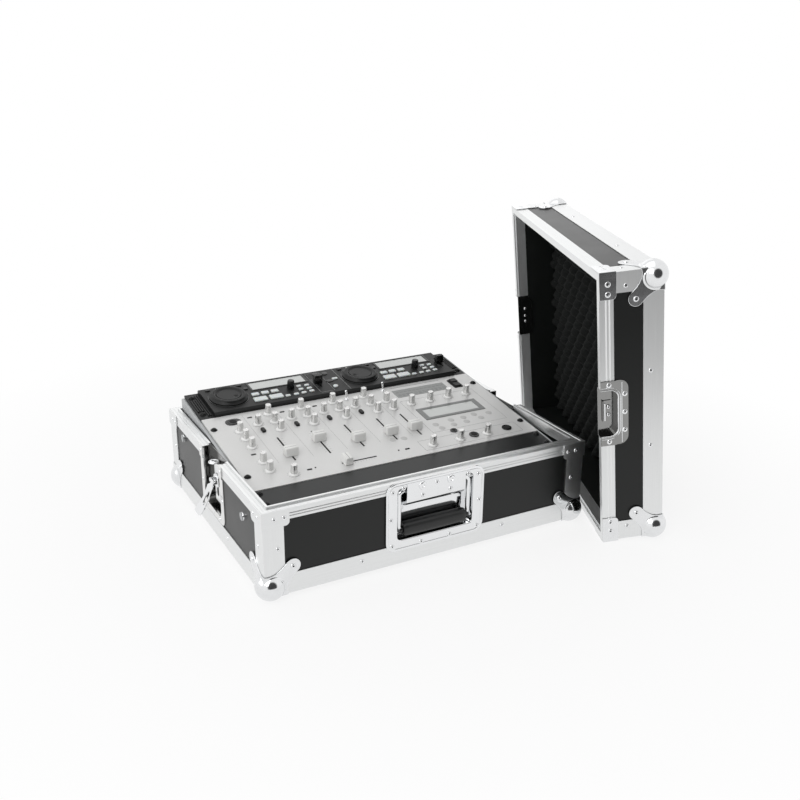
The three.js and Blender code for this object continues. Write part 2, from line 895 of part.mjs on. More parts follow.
function boltHoles() {
  const radius = railBoltRadius + running;
  return railBoltPlaces().map(({ y, z }) => barX(radius, -overrun, panelBack + overrun, y, z, 10));
}

function mirroredAcross(geometry) {
  const flat = geometry.index ? geometry.toNonIndexed() : geometry.clone();
  flat.scale(-1, 1, 1).translate(caseWidth, 0, 0);
  const points = flat.attributes.position;
  const [second, third] = [new THREE.Vector3(), new THREE.Vector3()];
  for (let corner = 0; corner < points.count; corner += 3) {
    second.fromBufferAttribute(points, corner + 1);
    third.fromBufferAttribute(points, corner + 2);
    points.setXYZ(corner + 1, ...third);
    points.setXYZ(corner + 2, ...second);
  }
  flat.computeVertexNormals();
  return flat;
}

// Holes for the rack screws at a panel's four corners.
function earHoles(start, length) {
  const ups = [start + length * earHoleShares[0], start + length * earHoleShares[1]];
  return [screwInset, rackWidth - screwInset].flatMap((across) =>
    ups.map((up) =>
      drum(screwHoleRadius, screwHoleRadius, -faceThickness - overrun, overrun, 8).translate(across, up, 0),
    ),
  );
}

function blankPanel() {
  const length = rackUnitHeight - rackGap;
  const plate = block([0, -rackUnitHeight, -faceThickness], [rackWidth, -rackGap, blankThickness - faceThickness]);
  return cut(plate, ...earHoles(-rackUnitHeight, length));
}

// Mixer

function knob(across, up) {
  const profile = [
    [0, -faceThickness / 2],
    [knobSkirtRadius, -faceThickness / 2],
    [knobSkirtRadius, knobSkirtHeight * knobFlareShare],
    [knobRadius, knobSkirtHeight],
    [knobTopRadius, knobHeight],
    [0, knobHeight],
  ].map(([radius, height]) => new THREE.Vector2(radius, height));
  return new THREE.LatheGeometry(profile, 7).rotateX(Math.PI / 2).translate(across, up, 0);
}

function allKnobs() {
  const rows = [
    ...channelAcrossShares.flatMap((across) => channelUpShares.map((up) => [across, up])),
    ...filterAcrossShares.map((across) => [across, filterUpShare]),
    ...sideUpShares.map((up) => [sideAcrossShare, up]),
    ...effectAcrossShares.map((across) => [across, effectUpShare]),
    ...looseKnobShares,
  ];
  return rows.map(([across, up]) => knob(rackWidth * across, mixerLength * up));
}

function throughSlot(across, low, high) {
  return block([across - slotWidth / 2, low, -faceThickness - overrun], [across + slotWidth / 2, high, overrun]);
}

function mixerFace() {
  const room = stemWidth / 2 + slotMargin;
  const faderSlots = faderAcrossShares.map((across) =>
    throughSlot(rackWidth * across, faderLow - room, faderLow + faderTravel + room),
  );
  const crossSlot = block(
    [crossLow - room, crossUp - slotWidth / 2, -faceThickness - overrun],
    [crossLow + crossTravel + room, crossUp + slotWidth / 2, overrun],
  );
  const display = block(
    [displayAcross - displayWidth / 2, displayUp - displayLength / 2, -displayDepth],
    [displayAcross + displayWidth / 2, displayUp + displayLength / 2, overrun],
  );
  const socket = drum(jackRadius, jackRadius, -faceThickness - overrun, overrun, 12);
  const sockets = jackShares.map(([across, up]) =>
    socket.clone().translate(rackWidth * across, mixerLength * up, 0),
  );
  const plate = block([0, 0, -faceThickness], [rackWidth, mixerLength, 0]);
  const pierced = cut(plate, ...faderSlots, crossSlot, display, ...sockets, ...earHoles(0, mixerLength));
  return join(pierced, ...allKnobs());
}

function chassisBox(start, length, drop, top) {
  return block(
    [chassisSideInset, start + chassisInset, -drop],
    [rackWidth - chassisSideInset, start + length - chassisInset, top],
  );
}

// A slider cap whose grip line runs along x, with its stem in the slot.
function sliderCap(width, length, height, slotAlongX) {
  const half = length / 2;
  const ridge = half * capRidgeShare;
  const outline = shapeOf([
    [-half, capFoot],
    [half, capFoot],
    [half - capTaper, capFoot + height],
    [ridge, capFoot + height],
    [0, capFoot + height - capDip],
    [-ridge, capFoot + height],
    [capTaper - half, capFoot + height],
  ]);
  const [stemX, stemY] = slotAlongX ? [stemWidth, stemThickness] : [stemThickness, stemWidth];
  const stem = block([-stemX / 2, -stemY / 2, -stemDrop], [stemX / 2, stemY / 2, capFoot + capTaper]);
  return join(sidePlate(outline, -width / 2, width / 2), stem);
}

function faderCap(at) {
  const across = rackWidth * faderAcrossShares[at];
  const up = mixerLength * faderRestShares[at];
  return sliderCap(capWidth, capLength, capHeight, false).translate(across, up, 0);
}

function crossfaderCap() {
  const cap = sliderCap(crossCapLength, crossCapWidth, capHeight, false).rotateZ(Math.PI / 2);
  return cap.translate(crossRest, crossUp, 0);
}

// Twin player controller

const moduleAcross = [jogAcross, jogAcross + playerModule];

function playerSlot(moduleStart) {
  const across = moduleStart + playerModule * pitchShare;
  const room = pitchTravel / 2 + stemWidth / 2 + running;
  return block(
    [across - slotWidth / 2, playerUp - room, playerBodyHeight - stemDrop - running],
    [across + slotWidth / 2, playerUp + room, playerBodyHeight + overrun],
  );
}

function playerPockets(moduleStart) {
  const floor = playerBodyHeight - pinDrop - running;
  const displayX = moduleStart + playerModule * playerDisplayShare;
  const encoderX = moduleStart + playerModule * encoderShare;
  const display = block(
    [
      displayX - playerDisplayWidth / 2,
      playerUp + playerDisplayUp - playerDisplayLength / 2,
      playerBodyHeight - displayDepth,
    ],
    [
      displayX + playerDisplayWidth / 2,
      playerUp + playerDisplayUp + playerDisplayLength / 2,
      playerBodyHeight + overrun,
    ],
  );
  const jogBore = drum(jogPinRadius + running, jogPinRadius + running, floor, playerBodyHeight + overrun, 12);
  const encoderBore = drum(
    encoderPinRadius + running,
    encoderPinRadius + running,
    floor,
    playerBodyHeight + overrun,
    10,
  );
  return [
    display,
    jogBore.translate(moduleStart, playerUp, 0),
    encoderBore.translate(encoderX, playerUp + encoderUp, 0),
    playerSlot(moduleStart),
  ];
}

function playerController() {
  const side = playerBodyInset;
  const end = playerStart + playerLength;
  const bodyOutline = shapeOf([
    [playerStart, -faceThickness / 2],
    [end, -faceThickness / 2],
    [end, playerBodyHeight - playerBodyTaper],
    [end - playerBodyTaper, playerBodyHeight],
    [playerStart + playerBodyTaper, playerBodyHeight],
    [playerStart, playerBodyHeight - playerBodyTaper],
  ]);
  const ridgePitch = side / (playerEarRidges + 1);
  const [ridgeStart, ridgeEnd] = playerRidgeShares.map((share) => playerStart + playerLength * share);
  const ridges = [0, 1].flatMap((farEar) =>
    Array.from({ length: playerEarRidges }, (_, at) => {
      const near = (at + 0.75) * ridgePitch;
      const low = farEar ? rackWidth - near - ridgePitch / 2 : near;
      return block(
        [low, ridgeStart, -faceThickness / 2],
        [low + ridgePitch / 2, ridgeEnd, playerEarRidge],
      );
    }),
  );
  const whole = join(
    block([0, playerStart, -faceThickness], [rackWidth, end, 0]),
    sidePlate(bodyOutline, side, rackWidth - side),
    ...ridges,
    chassisBox(playerStart, playerLength, playerChassisDrop, -faceThickness / 2),
  );
  return cut(whole, ...moduleAcross.flatMap(playerPockets), ...earHoles(playerStart, playerLength));
}

// A turning knob over the player's body, with the pin that it turns on.
function turnedKnob(profile, sides, across, up) {
  const points = profile.map(([radius, height]) => new THREE.Vector2(radius, height));
  return new THREE.LatheGeometry(points, sides)
    .rotateX(Math.PI / 2)
    .translate(across, up, playerBodyHeight + jogGap);
}

function jogWheel(moduleStart) {
  const hollow = jogRadius - 2 * jogRim;
  const profile = [
    [0, -jogGap - pinDrop],
    [jogPinRadius, -jogGap - pinDrop],
    [jogPinRadius, 0],
    [jogRadius, 0],
    [jogRadius, jogHeight - jogRim / 2],
    [jogRadius - jogRim / 2, jogHeight],
    [jogRadius - jogRim, jogHeight],
    [hollow, jogHeight - jogRim / 2],
    [0, jogHeight - jogRim / 2],
  ];
  return turnedKnob(profile, 24, moduleStart, playerUp);
}

function encoder(moduleStart) {
  const profile = [
    [0, -jogGap - pinDrop],
    [encoderPinRadius, -jogGap - pinDrop],
    [encoderPinRadius, 0],
    [encoderRadius, 0],
    [encoderRadius * encoderTopShare, encoderHeight],
    [0, encoderHeight],
  ];
  return turnedKnob(profile, 14, moduleStart + playerModule * encoderShare, playerUp + encoderUp);
}

function pitchCap(moduleStart) {
  const cap = sliderCap(pitchCapWidth, pitchCapLength, pitchCapHeight, false);
  return cap.translate(moduleStart + playerModule * pitchShare, playerUp, playerBodyHeight);
}

// Foam in the lid

function foamHeight(across, along) {
  const wave = Math.cos((Math.PI * across) / foamPitch) * Math.cos((Math.PI * along) / foamPitch);
  return panelBack + seat + foamBacking + foamSwell * wave;
}

// Egg-crate foam: backing plus swell times the product of two cosines, over a flat back.
function lidFoam() {
  const edge = panelBack + foamMargin;
  const width = caseWidth - 2 * edge;
  const depth = caseDepth - 2 * edge;
  const columns = Math.round((2 * width) / foamPitch);
  const rows = Math.round((2 * depth) / foamPitch);
  const across = (column) => (column * foamPitch) / 2 + (caseWidth - (columns * foamPitch) / 2) / 2;
  const along = (row) => (row * foamPitch) / 2 + (caseDepth - (rows * foamPitch) / 2) / 2;
  const backZ = panelBack + seat;
  const points = [];
  for (let row = 0; row <= rows; row++) {
    for (let column = 0; column <= columns; column++) {
      const [x, y] = [across(column), along(row)];
      const z = foamHeight((column * foamPitch) / 2, (row * foamPitch) / 2);
      points.push(new THREE.Vector3(x, y, z));
    }
  }
  const index = foamFaces(columns, rows);
  const rim = foamEdge(columns, rows);
  const back = rim.map((at) => points[at].clone().setZ(backZ));
  const firstBack = points.length;
  const middle = new THREE.Vector3(middleX, middleY, backZ);
  rim.forEach((at, step) => {
    const beside = (step + 1) % rim.length;
    index.push(at, firstBack + step, firstBack + beside);
    index.push(at, firstBack + beside, rim[beside]);
    index.push(firstBack + rim.length, firstBack + beside, firstBack + step);
  });
  return closedSolid([...points, ...back, middle], index);
}

function foamFaces(columns, rows) {
  const index = [];
  const line = columns + 1;
  for (let row = 0; row < rows; row++) {
    for (let column = 0; column < columns; column++) {
      const at = row * line + column;
      index.push(at, at + 1, at + line + 1);
      index.push(at, at + line + 1, at + line);
    }
  }
  return index;
}

// The foam's border points, once round.
function foamEdge(columns, rows) {
  const line = columns + 1;
  return [
    ...Array.from({ length: columns }, (_, at) => at),
    ...Array.from({ length: rows }, (_, at) => at * line + columns),
    ...Array.from({ length: columns }, (_, at) => rows * line + columns - at),
    ...Array.from({ length: rows }, (_, at) => (rows - at) * line),
  ];
}

// Both shells

function ballCorners(prefix) {
  return cornerPlaces.map((place) => mesh(`${prefix}_ball_corner_${place.name}`, atCorner(ballCorner(), place), "chrome"));
}

function trayShell() {
  const panels = shellPanels(trayHeight - rimWeb - seat);
  const notch = pocketNotch(trayHeight, latchPocketFloorZ);
  const left = cut(panels.left, notch, ...boltHoles());
  const rims = rimHalves(trayRimProfile(), trayHeight);
  const angleTop = trayHeight - trayRimBand - seat;
  const angles = cornerPlaces.map((place) =>
    mesh(`tray_corner_angle_${place.name}`, atCorner(cornerAngle(angleLeg + seat, angleTop), place), "aluminium"),
  );
  return [
    mesh("tray_floor_panel", panels.floor, "laminate"),
    mesh("tray_front_panel", cut(panels.front, handleNotch()), "laminate"),
    mesh("tray_rear_panel", panels.rear, "laminate"),
    mesh("tray_left_panel", left, "laminate"),
    mesh("tray_right_panel", mirroredAcross(left), "laminate"),
    mesh("tray_edge_frame", edgeFrame(), "aluminium"),
    ...angles,
    ...ballCorners("tray"),
    mesh("tray_rim_front", cut(rims.front, handleNotch()), "aluminium"),
    mesh("tray_rim_rear", rims.rear, "aluminium"),
  ];
}

function lidShell() {
  const panels = shellPanels(lidHeight - lidRimWeb - seat);
  const notch = pocketNotch(lidHeight, lidHeight - strikePocketHeight);
  const left = cut(panels.left, notch);
  const rims = rimHalves(lidRimProfile(), lidHeight);
  const angleTop = lidHeight - lidRimBand - seat;
  const angles = cornerPlaces.map((place) => atCorner(cornerAngle(angleLeg / 2, angleTop), place));
  return [
    mesh("lid_top_panel", panels.floor, "laminate"),
    mesh("lid_foot_panel", panels.front, "laminate"),
    mesh("lid_head_panel", panels.rear, "laminate"),
    mesh("lid_far_panel", left, "laminate"),
    mesh("lid_near_panel", atOtherSide(left), "laminate"),
    mesh("lid_edge_frame", join(edgeFrame(), ...angles), "aluminium"),
    ...ballCorners("lid"),
    mesh("lid_rim_foot", rims.front, "aluminium"),
    mesh("lid_rim_head", rims.rear, "aluminium"),
    mesh("lid_strike_far", strikeDish(), "steel"),
    mesh("lid_strike_near", atOtherSide(strikeDish()), "steel"),
    mesh("lid_foam", lidFoam(), "foam"),
  ];
}

const latchPieces = [
  { name: "dish", make: latchDish, look: "steel" },
  { name: "hook", make: latchHook, look: "steel" },
  { name: "spindle", make: latchSpindle, look: "steel" },
  { name: "wing", make: latchWing, look: "steel" },
];

function latches() {
  return latchPieces.flatMap(({ name, make, look }) => [
    mesh(`latch_${name}_left`, make(), look),
    mesh(`latch_${name}_right`, atOtherSide(make()), look),
  ]);
}

function rackGear() {
  const gear = group(
    mesh("blank_panel", blankPanel(), "paint"),
    mesh("mixer_face", mixerFace(), "silver"),
    mesh("mixer_chassis", chassisBox(0, mixerLength, mixerChassisDrop, railPlane), "black"),
    ...faderAcrossShares.map((_, at) => mesh(`mixer_fader_${at + 1}`, faderCap(at), "silver")),
    mesh("mixer_crossfader", crossfaderCap(), "silver"),
    mesh("player_controller", playerController(), "black"),
    ...moduleAcross.flatMap((start, at) => [
      mesh(`player_jog_${at + 1}`, jogWheel(start), "black"),
      mesh(`player_encoder_${at + 1}`, encoder(start), "black"),
      mesh(`player_pitch_${at + 1}`, pitchCap(start), "black"),
    ]),
  );
  gear.applyMatrix4(rackPlace);
  return gear;
}

// The lid stands on its long side, on two of its ball corners and the edge of its rim, and leans back
// towards the tray by the angle that those contacts give.
function lidPlace() {
  const ballReach = lidHeight - ballInset;
  const ballLift = ballInset + plateProud;
  const lean = Math.asin(ballRadius / Math.hypot(ballReach, ballLift)) - Math.atan2(ballLift, ballReach);
  const deep = new THREE.Vector3(Math.cos(lidYaw), -Math.sin(lidYaw), 0);
  const wide = new THREE.Vector3(Math.sin(lidYaw), Math.cos(lidYaw), 0);
  const up = new THREE.Vector3(0, 0, 1);
  const deepLeant = deep.clone().multiplyScalar(Math.cos(lean)).addScaledVector(up, Math.sin(lean));
  const upLeant = up.clone().multiplyScalar(Math.cos(lean)).addScaledVector(deep, -Math.sin(lean));
  const floorZ = ballInset - ballRadius;
  const braceReach = plateProud * (Math.cos(lidYaw) + Math.sin(lidYaw));
  const clear = lidClear + (trayHeight - floorZ) * Math.tan(lean) + braceReach;
  const corner = new THREE.Vector3(caseWidth, 0, floorZ)
    .addScaledVector(deep, clear)
    .addScaledVector(wide, -lidForward)
    .addScaledVector(upLeant, plateProud);
  const origin = corner.addScaledVector(wide, caseWidth).addScaledVector(deepLeant, lidHeight);
  return new THREE.Matrix4()
    .makeBasis(wide.clone().negate(), upLeant, deepLeant.clone().negate())
    .setPosition(origin);
}

const lid = group(...lidShell());
lid.applyMatrix4(lidPlace());

const flightCase = group(
  ...trayShell(),
  mesh("handle_dish", handleDish(), "chrome"),
  mesh("handle_bail", bail(), "chrome"),
  mesh("handle_grip", grip(), "rubber"),
  mesh("rack_rail_left", leftRail(), "steel"),
  mesh("rack_rail_right", mirroredAcross(leftRail()), "steel"),
  ...latches(),
  rackGear(),
  lid,
);
flightCase.position.set(-middleX, -middleY, ballRadius - ballInset);

export default flightCase;
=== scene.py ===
# Flight case with a rack mixer and a twin player controller: the visible pieces and finishes that
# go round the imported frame, on a pale floor in soft studio light.
import math

import bpy
import numpy as np
from mathutils import Matrix


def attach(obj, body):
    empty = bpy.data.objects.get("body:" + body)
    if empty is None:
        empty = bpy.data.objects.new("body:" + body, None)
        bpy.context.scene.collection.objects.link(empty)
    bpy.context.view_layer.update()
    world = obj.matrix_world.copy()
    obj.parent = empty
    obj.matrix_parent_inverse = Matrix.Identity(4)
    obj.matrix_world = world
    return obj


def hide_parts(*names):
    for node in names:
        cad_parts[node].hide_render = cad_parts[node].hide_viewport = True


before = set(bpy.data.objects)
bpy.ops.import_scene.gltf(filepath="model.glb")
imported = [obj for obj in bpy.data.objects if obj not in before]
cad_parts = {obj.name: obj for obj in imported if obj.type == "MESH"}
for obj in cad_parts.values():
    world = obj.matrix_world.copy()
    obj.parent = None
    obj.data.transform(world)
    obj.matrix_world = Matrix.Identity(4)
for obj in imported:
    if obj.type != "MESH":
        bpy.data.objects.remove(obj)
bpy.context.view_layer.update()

bl_info = {
    "name": "DJ Mixer Flight Case",
    "version": (1, 0, 0),
    "blender": (4, 5, 0),
    "location": "View3D > Sidebar > Flight Case",
    "description": "Dresses the packed frame of a flight case with its hardware, gear and finishes",
    "category": "Add Mesh",
}

# Metres in a millimetre
MM = 0.001

# The case in millimetres, counted from the tray's front left lower corner as in the part's source
RACK_WIDTH = 482.6
RACK_UNIT = 44.45
RACK_GAP = 0.8
RACK_TILT = math.radians(7)
RACK_SIDE_ROOM = 20.7
RACK_FRONT_Y = 91.5
RACK_FRONT_Z = 115.2
CASE_WIDTH = RACK_WIDTH + 2 * RACK_SIDE_ROOM
CASE_DEPTH = RACK_FRONT_Y + 7 * RACK_UNIT * math.cos(RACK_TILT) + 15.7
TRAY_HEIGHT = 128
LID_HEIGHT = 93
# Plates: how far their faces and their backs stand off a panel, and the round of a pressed lip
PLATE_PROUD = 1.5
SEAT = 0.3
LIP_ROUND = 1.6
# Ball corners: the ball, how far its hidden part is folded under the corner's faces, how far the
# plates lap past the corner's edges, and the lobes
BALL_RADIUS = 21.5
BALL_INSET = 12
BALL_FOLD = 0.4
ARRIS_LAP = 0.6
LOBE_REACH = 41
LOBE_RADIUS = 11
# Rivets, latches and handle
EDGE_RIVET_UP = 19
SPINDLE_UP = 86
WING_LENGTH = 54
WING_PIN_OUT = -1.5
BAIL_OUT = -5
BAIL_PIN_UP = 111.5
GRIP_UP = 51.5
# The lid's stand beside the tray
LID_YAW = math.radians(21.5)
LID_CLEAR = 3
LID_FORWARD = 70
# Gear along the rack's slope
MIXER_LENGTH = 5 * RACK_UNIT - RACK_GAP
PLAYER_START = 5 * RACK_UNIT
PLAYER_LENGTH = 2 * RACK_UNIT - RACK_GAP
PLAYER_UP = PLAYER_START + PLAYER_LENGTH / 2
PLAYER_TOP = 7
PLAYER_EAR = 22.3
PLAYER_MODULE = 236
MODULE_STARTS = (60, 60 + PLAYER_MODULE)
RAIL_BOLTS = ((75.9, 89.5), (346.2, 102.4))
MIDDLE_X = CASE_WIDTH / 2
MIDDLE_Y = CASE_DEPTH / 2
FOAM_PITCH = 19

# Places of the controls on the mixer's face: across from its left end and up the slope
CHANNEL_ACROSS = (103.5, 159.5, 215.5, 272)
CHANNEL_KNOB_UP = (149.5, 176, 204)
FILTER_ACROSS = (76.8, 132.6, 188.5, 244.7)
FILTER_UP = 177.5
SIDE_KNOB_ACROSS = 43
SIDE_KNOB_UP = (42, 68.3, 114.6, 140.7, 165.6)
EFFECT_ACROSS = (336, 371.2, 406.3, 441.5)
EFFECT_UP = 153
LOOSE_KNOBS = ((71, 20.6), (300.5, 149.2), (300.5, 175.3), (301.4, 21), (351, 21), (401, 21))
FADER_ACROSS = (88.5, 145, 201, 258, 301)
FADER_REST = (74.5, 99.5, 77, 77.5, 78)
FADER_LOW = 62
FADER_TRAVEL = 60
CROSS_UP = 22.5
CROSS_REST = 156
CROSS_LOW = 154
CROSS_TRAVEL = 45
CHANNEL_LINES = (63, 118, 174, 230, 286)
GROUP_FRAMES = (((320.8, 54), (460, 166)), ((283.5, 9), (461.5, 38.6)))
HEADING_LINE = ((327, 214.5), (423, 214.5))
DISPLAY_PLACE = (388, 113)
LABEL_PLACE = (375, 192)
ROCKER_PLACE = (444, 193)
PHONES_PLACE = (43.5, 197.5)
TOGGLES = ((241.5, 204), (312.4, 211))
SLIDE_SWITCHES = ((72, 202.5), (126.5, 202), (183, 202), (37.4, 93.4), (97.2, 24.5), (258.5, 24.5))
PIN_LIGHTS = ((107, 26), (244, 25.6))
FILTER_SWITCH_UP = 155.5
KEY_PADS = (
    (338, 76), (369, 80.4), (392.5, 81), (414.5, 84), (441, 80), (342, 62.5), (366, 66), (390.7, 67.2),
    (419.9, 70), (250.6, 57.5), (269, 55),
)
# Jacks as across, up and the radius of their hole
JACKS = ((42.5, 197, 5.5), (355, 48, 3.4), (378.5, 25, 5.5), (440, 25, 5.5))

# Controls of one half of the player, counted across from the middle of its wheel. A group of keys is
# its width, length, height, soft edge, corner radius and places.
ENCODER_PLACE = (107, PLAYER_UP - 2)
PITCH_ACROSS = 157
PALE_KEYS = (
    (12.5, 8.5, 2.2, 1.0, 1.4, ((43.5, 260.8), (60.5, 261.2), (77.5, 261.4))),
    (22.5, 13, 2.2, 1.0, 1.6, ((46, 242.4), (73, 242.4))),
    (8.4, 5.6, 1.8, 0.8, 1.6, (
        (92, 238.6), (107, 238.9), (121.2, 264), (135.2, 263), (120.6, 252.6), (135.2, 251.4),
        (135.2, 240.7), (120.6, 239.6),
    )),
    (7, 4.5, 1.6, 0.8, 1.4, ((-8, 299),)),
)
DARK_KEYS = ((8.5, 6, 1.8, 0.9, 2.2, ((-24, 300.2), (14, 298.5), (29.5, 300.3), (35.5, 285))),)
PALE_BUTTON = (179.5, 243)
PALE_OUTER_KEYS = ((10, 5.6, 1.8, 0.8, 1.6, ((190, 269.6),)),)
DARK_BUTTONS = ((164.3, 294.3), (181, 293.1))
DARK_OUTER_KEYS = ((13, 9, 1.2, 0.8, 4, ((178.5, 265),)),)

# Sockets of Blender's Mix node
MIX_SHARE, NUMBER_A, NUMBER_B, COLOUR_A, COLOUR_B = 0, 2, 3, 6, 7


# Colour and placing

def linear(hex_colour):
    """The linear colour of an sRGB hex value: each channel through the sRGB curve's inverse."""
    channels = np.array([int(hex_colour[at:at + 2], 16) for at in (1, 3, 5)]) / 255
    low = channels / 12.92
    high = ((channels + 0.055) / 1.055) ** 2.4
    red, green, blue = np.where(channels <= 0.04045, low, high)
    return float(red), float(green), float(blue)


def shade(colour, share=1.0):
    """A linear colour times a share, as the four numbers of a colour socket."""
    return (*(np.array(colour[:3]) * share).tolist(), 1.0)


def placed(columns, origin):
    """A 4 by 4 matrix from three axis columns and an origin."""
    matrix = np.eye(4)
    matrix[:3, :3] = np.array(columns, float).T
    matrix[:3, 3] = origin
    return matrix


def shifted(x, y, z=0.0):
    """A move along the three axes."""
    return placed(np.eye(3), (x, y, z))


def turned(axis, angle):
    """A turn by an angle about the x, y or z axis."""
    matrix = np.eye(4)
    first, second = ((1, 2), (2, 0), (0, 1))["xyz".index(axis)]
    matrix[first, first] = matrix[second, second] = math.cos(angle)
    matrix[second, first] = math.sin(angle)
    matrix[first, second] = -math.sin(angle)
    return matrix


def lid_place():
    """The lid's place: it stands on its long foot side and leans back by what its ball corners give.
    Its own axes run from back to front, up, and from its outer top to its mouth."""
    reach = LID_HEIGHT - BALL_INSET
    lift = BALL_INSET + PLATE_PROUD
    lean = math.asin(BALL_RADIUS / math.hypot(reach, lift)) - math.atan2(lift, reach)
    deep = np.array([math.cos(LID_YAW), -math.sin(LID_YAW), 0.0])
    wide = np.array([math.sin(LID_YAW), math.cos(LID_YAW), 0.0])
    up = np.array([0.0, 0.0, 1.0])
    deep_leant = deep * math.cos(lean) + up * math.sin(lean)
    up_leant = up * math.cos(lean) - deep * math.sin(lean)
    floor_z = BALL_INSET - BALL_RADIUS
    brace_reach = PLATE_PROUD * (math.cos(LID_YAW) + math.sin(LID_YAW))
    clear = LID_CLEAR + (TRAY_HEIGHT - floor_z) * math.tan(lean) + brace_reach
    corner = np.array([CASE_WIDTH, 0.0, floor_z]) + deep * clear - wide * LID_FORWARD
    corner = corner + up_leant * PLATE_PROUD
    origin = corner + wide * CASE_WIDTH + deep_leant * LID_HEIGHT
    return placed((-wide, up_leant, -deep_leant), origin)


TRAY = shifted(-MIDDLE_X, -MIDDLE_Y, BALL_RADIUS - BALL_INSET)
RACK = TRAY @ shifted(RACK_SIDE_ROOM, RACK_FRONT_Y, RACK_FRONT_Z) @ turned("x", RACK_TILT)
LID = TRAY @ lid_place()
# Each corner as a frame whose x and y run along its two lower edges
CORNERS = {
    "front_left": shifted(0, 0),
    "front_right": shifted(CASE_WIDTH, 0) @ turned("z", math.pi / 2),
    "rear_right": shifted(CASE_WIDTH, CASE_DEPTH) @ turned("z", math.pi),
    "rear_left": shifted(0, CASE_DEPTH) @ turned("z", -math.pi / 2),
}
# Each side as a frame of along, up and outward
SIDES = {
    "front": placed(((1, 0, 0), (0, 0, 1), (0, -1, 0)), (0, 0, 0)),
    "right": placed(((0, 1, 0), (0, 0, 1), (1, 0, 0)), (CASE_WIDTH, 0, 0)),
    "rear": placed(((-1, 0, 0), (0, 0, 1), (0, 1, 0)), (CASE_WIDTH, CASE_DEPTH, 0)),
    "left": placed(((0, -1, 0), (0, 0, 1), (-1, 0, 0)), (0, CASE_DEPTH, 0)),
}
SIDE_LENGTH = {"front": CASE_WIDTH, "rear": CASE_WIDTH, "left": CASE_DEPTH, "right": CASE_DEPTH}


# Surfaces as arrays: points, four-sided faces and flat many-sided end faces

def skin(rings, loop=False):
    """Closed surface through k rings of n points: quads join each ring to the next one, and flat
    faces close both ends, or the last ring joins the first where loop is set."""
    rings = np.asarray(rings, float)
    count, size = rings.shape[:2]
    step = np.arange(count if loop else count - 1)[:, None]
    here = step * size
    there = ((step + 1) % count) * size
    at = np.arange(size)
    beside = (at + 1) % size
    quads = np.stack([here + at, here + beside, there + beside, there + at], axis=-1).reshape(-1, 4)
    ends = [] if loop else [at[::-1].tolist(), (at + (count - 1) * size).tolist()]
    return rings.reshape(-1, 3), quads, ends


def moved(surface, matrix):
    """A surface through a matrix: each point p becomes R p + t."""
    points, quads, ends = surface
    return points @ matrix[:3, :3].T + matrix[:3, 3], quads, ends


def merged(surfaces):
    """Several surfaces as one, with each one's faces counted on from the points before it."""
    points, quads, ends, start = [], [], [], 0
    for some_points, some_quads, some_ends in surfaces:
        points.append(some_points)
        quads.append(some_quads + start)
        ends.extend([[at + start for at in end] for end in some_ends])
        start += len(some_points)
    return np.vstack(points), np.vstack(quads), ends


def copied(surface, matrices):
    """One surface at several places."""
    return merged([moved(surface, matrix) for matrix in matrices])


def outward(surface):
    """The same surface with its faces turned outwards: six times its volume is the sum of
    a . (b x c) over its triangles, and a negative sum turns every face round."""
    points, quads, ends = surface
    fans = [[end[0], end[at], end[at + 1]] for end in ends for at in range(1, len(end) - 1)]
    triangles = np.vstack([quads[:, (0, 1, 2)], quads[:, (0, 2, 3)], np.array(fans, int).reshape(-1, 3)])
    centred = points - points.mean(axis=0)
    first, second, third = (centred[triangles[:, corner]] for corner in range(3))
    if np.einsum("ij,ij->", first, np.cross(second, third)) < 0:
        return points, quads[:, ::-1], [end[::-1] for end in ends]
    return surface


def smooth(values):
    """Smooth rise from 0 to 1: 3 t^2 - 2 t^3 of the value held between 0 and 1."""
    held = np.clip(values, 0, 1)
    return held * held * (3 - 2 * held)


def circle(radius, sides):
    """Outline of a circle: radius times cosine and sine of evenly spaced angles."""
    angle = np.arange(sides) * 2 * math.pi / sides
    return np.column_stack([radius * np.cos(angle), radius * np.sin(angle)])


def rounded(width, length, radius, steps=5):
    """Outline of a rectangle with quarter circles at its corners, counterclockwise."""
    angle = np.linspace(0, math.pi / 2, steps + 1)
    arc = np.column_stack([np.cos(angle), np.sin(angle)]) * radius
    quarters = []
    for quarter in range(4):
        turn = turned("z", quarter * math.pi / 2)[:2, :2]
        centre = np.array([(1, 1), (-1, 1), (-1, -1), (1, -1)][quarter])
        quarters.append(arc @ turn.T + centre * (width / 2 - radius, length / 2 - radius))
    return np.vstack(quarters)


def inset(outline, by):
    """Outline moved inwards: each point goes back along the mean of its two edges' normals, by
    the distance over the cosine of half the turn."""
    if by == 0:
        return outline
    before = outline - np.roll(outline, 1, axis=0)
    after = np.roll(outline, -1, axis=0) - outline
    before = before / np.linalg.norm(before, axis=1, keepdims=True)
    after = after / np.linalg.norm(after, axis=1, keepdims=True)
    normals = np.stack([before[:, ::-1] * (1, -1), after[:, ::-1] * (1, -1)])
    mean = normals.sum(axis=0)
    mean = mean / np.linalg.norm(mean, axis=1, keepdims=True)
    cosine = np.clip(np.einsum("ij,ij->i", mean, normals[0]), 0.5, 1)
    return outline - mean * (by / cosine)[:, None]


def moved_outline(outline, by):
    """A flat outline moved across and up."""
    return outline + np.array(by, float)


def level(outline, height):
    """A flat outline as points at one height."""
    return np.column_stack([outline, np.full(len(outline), height)])


def pad(outline, profile):
    """Surface of one outline at several heights: each step of the profile is an inset and a
    height, and the outline shrinks by the first and stands at the second. One more ring close
    inside the top one keeps the flat top's shading flat."""
    by, height = profile[-1]
    inner = by + min(0.3, float(np.ptp(outline, axis=0).min()) / 8)
    return skin([level(inset(outline, step), at) for step, at in [*profile, (inner, height)]])


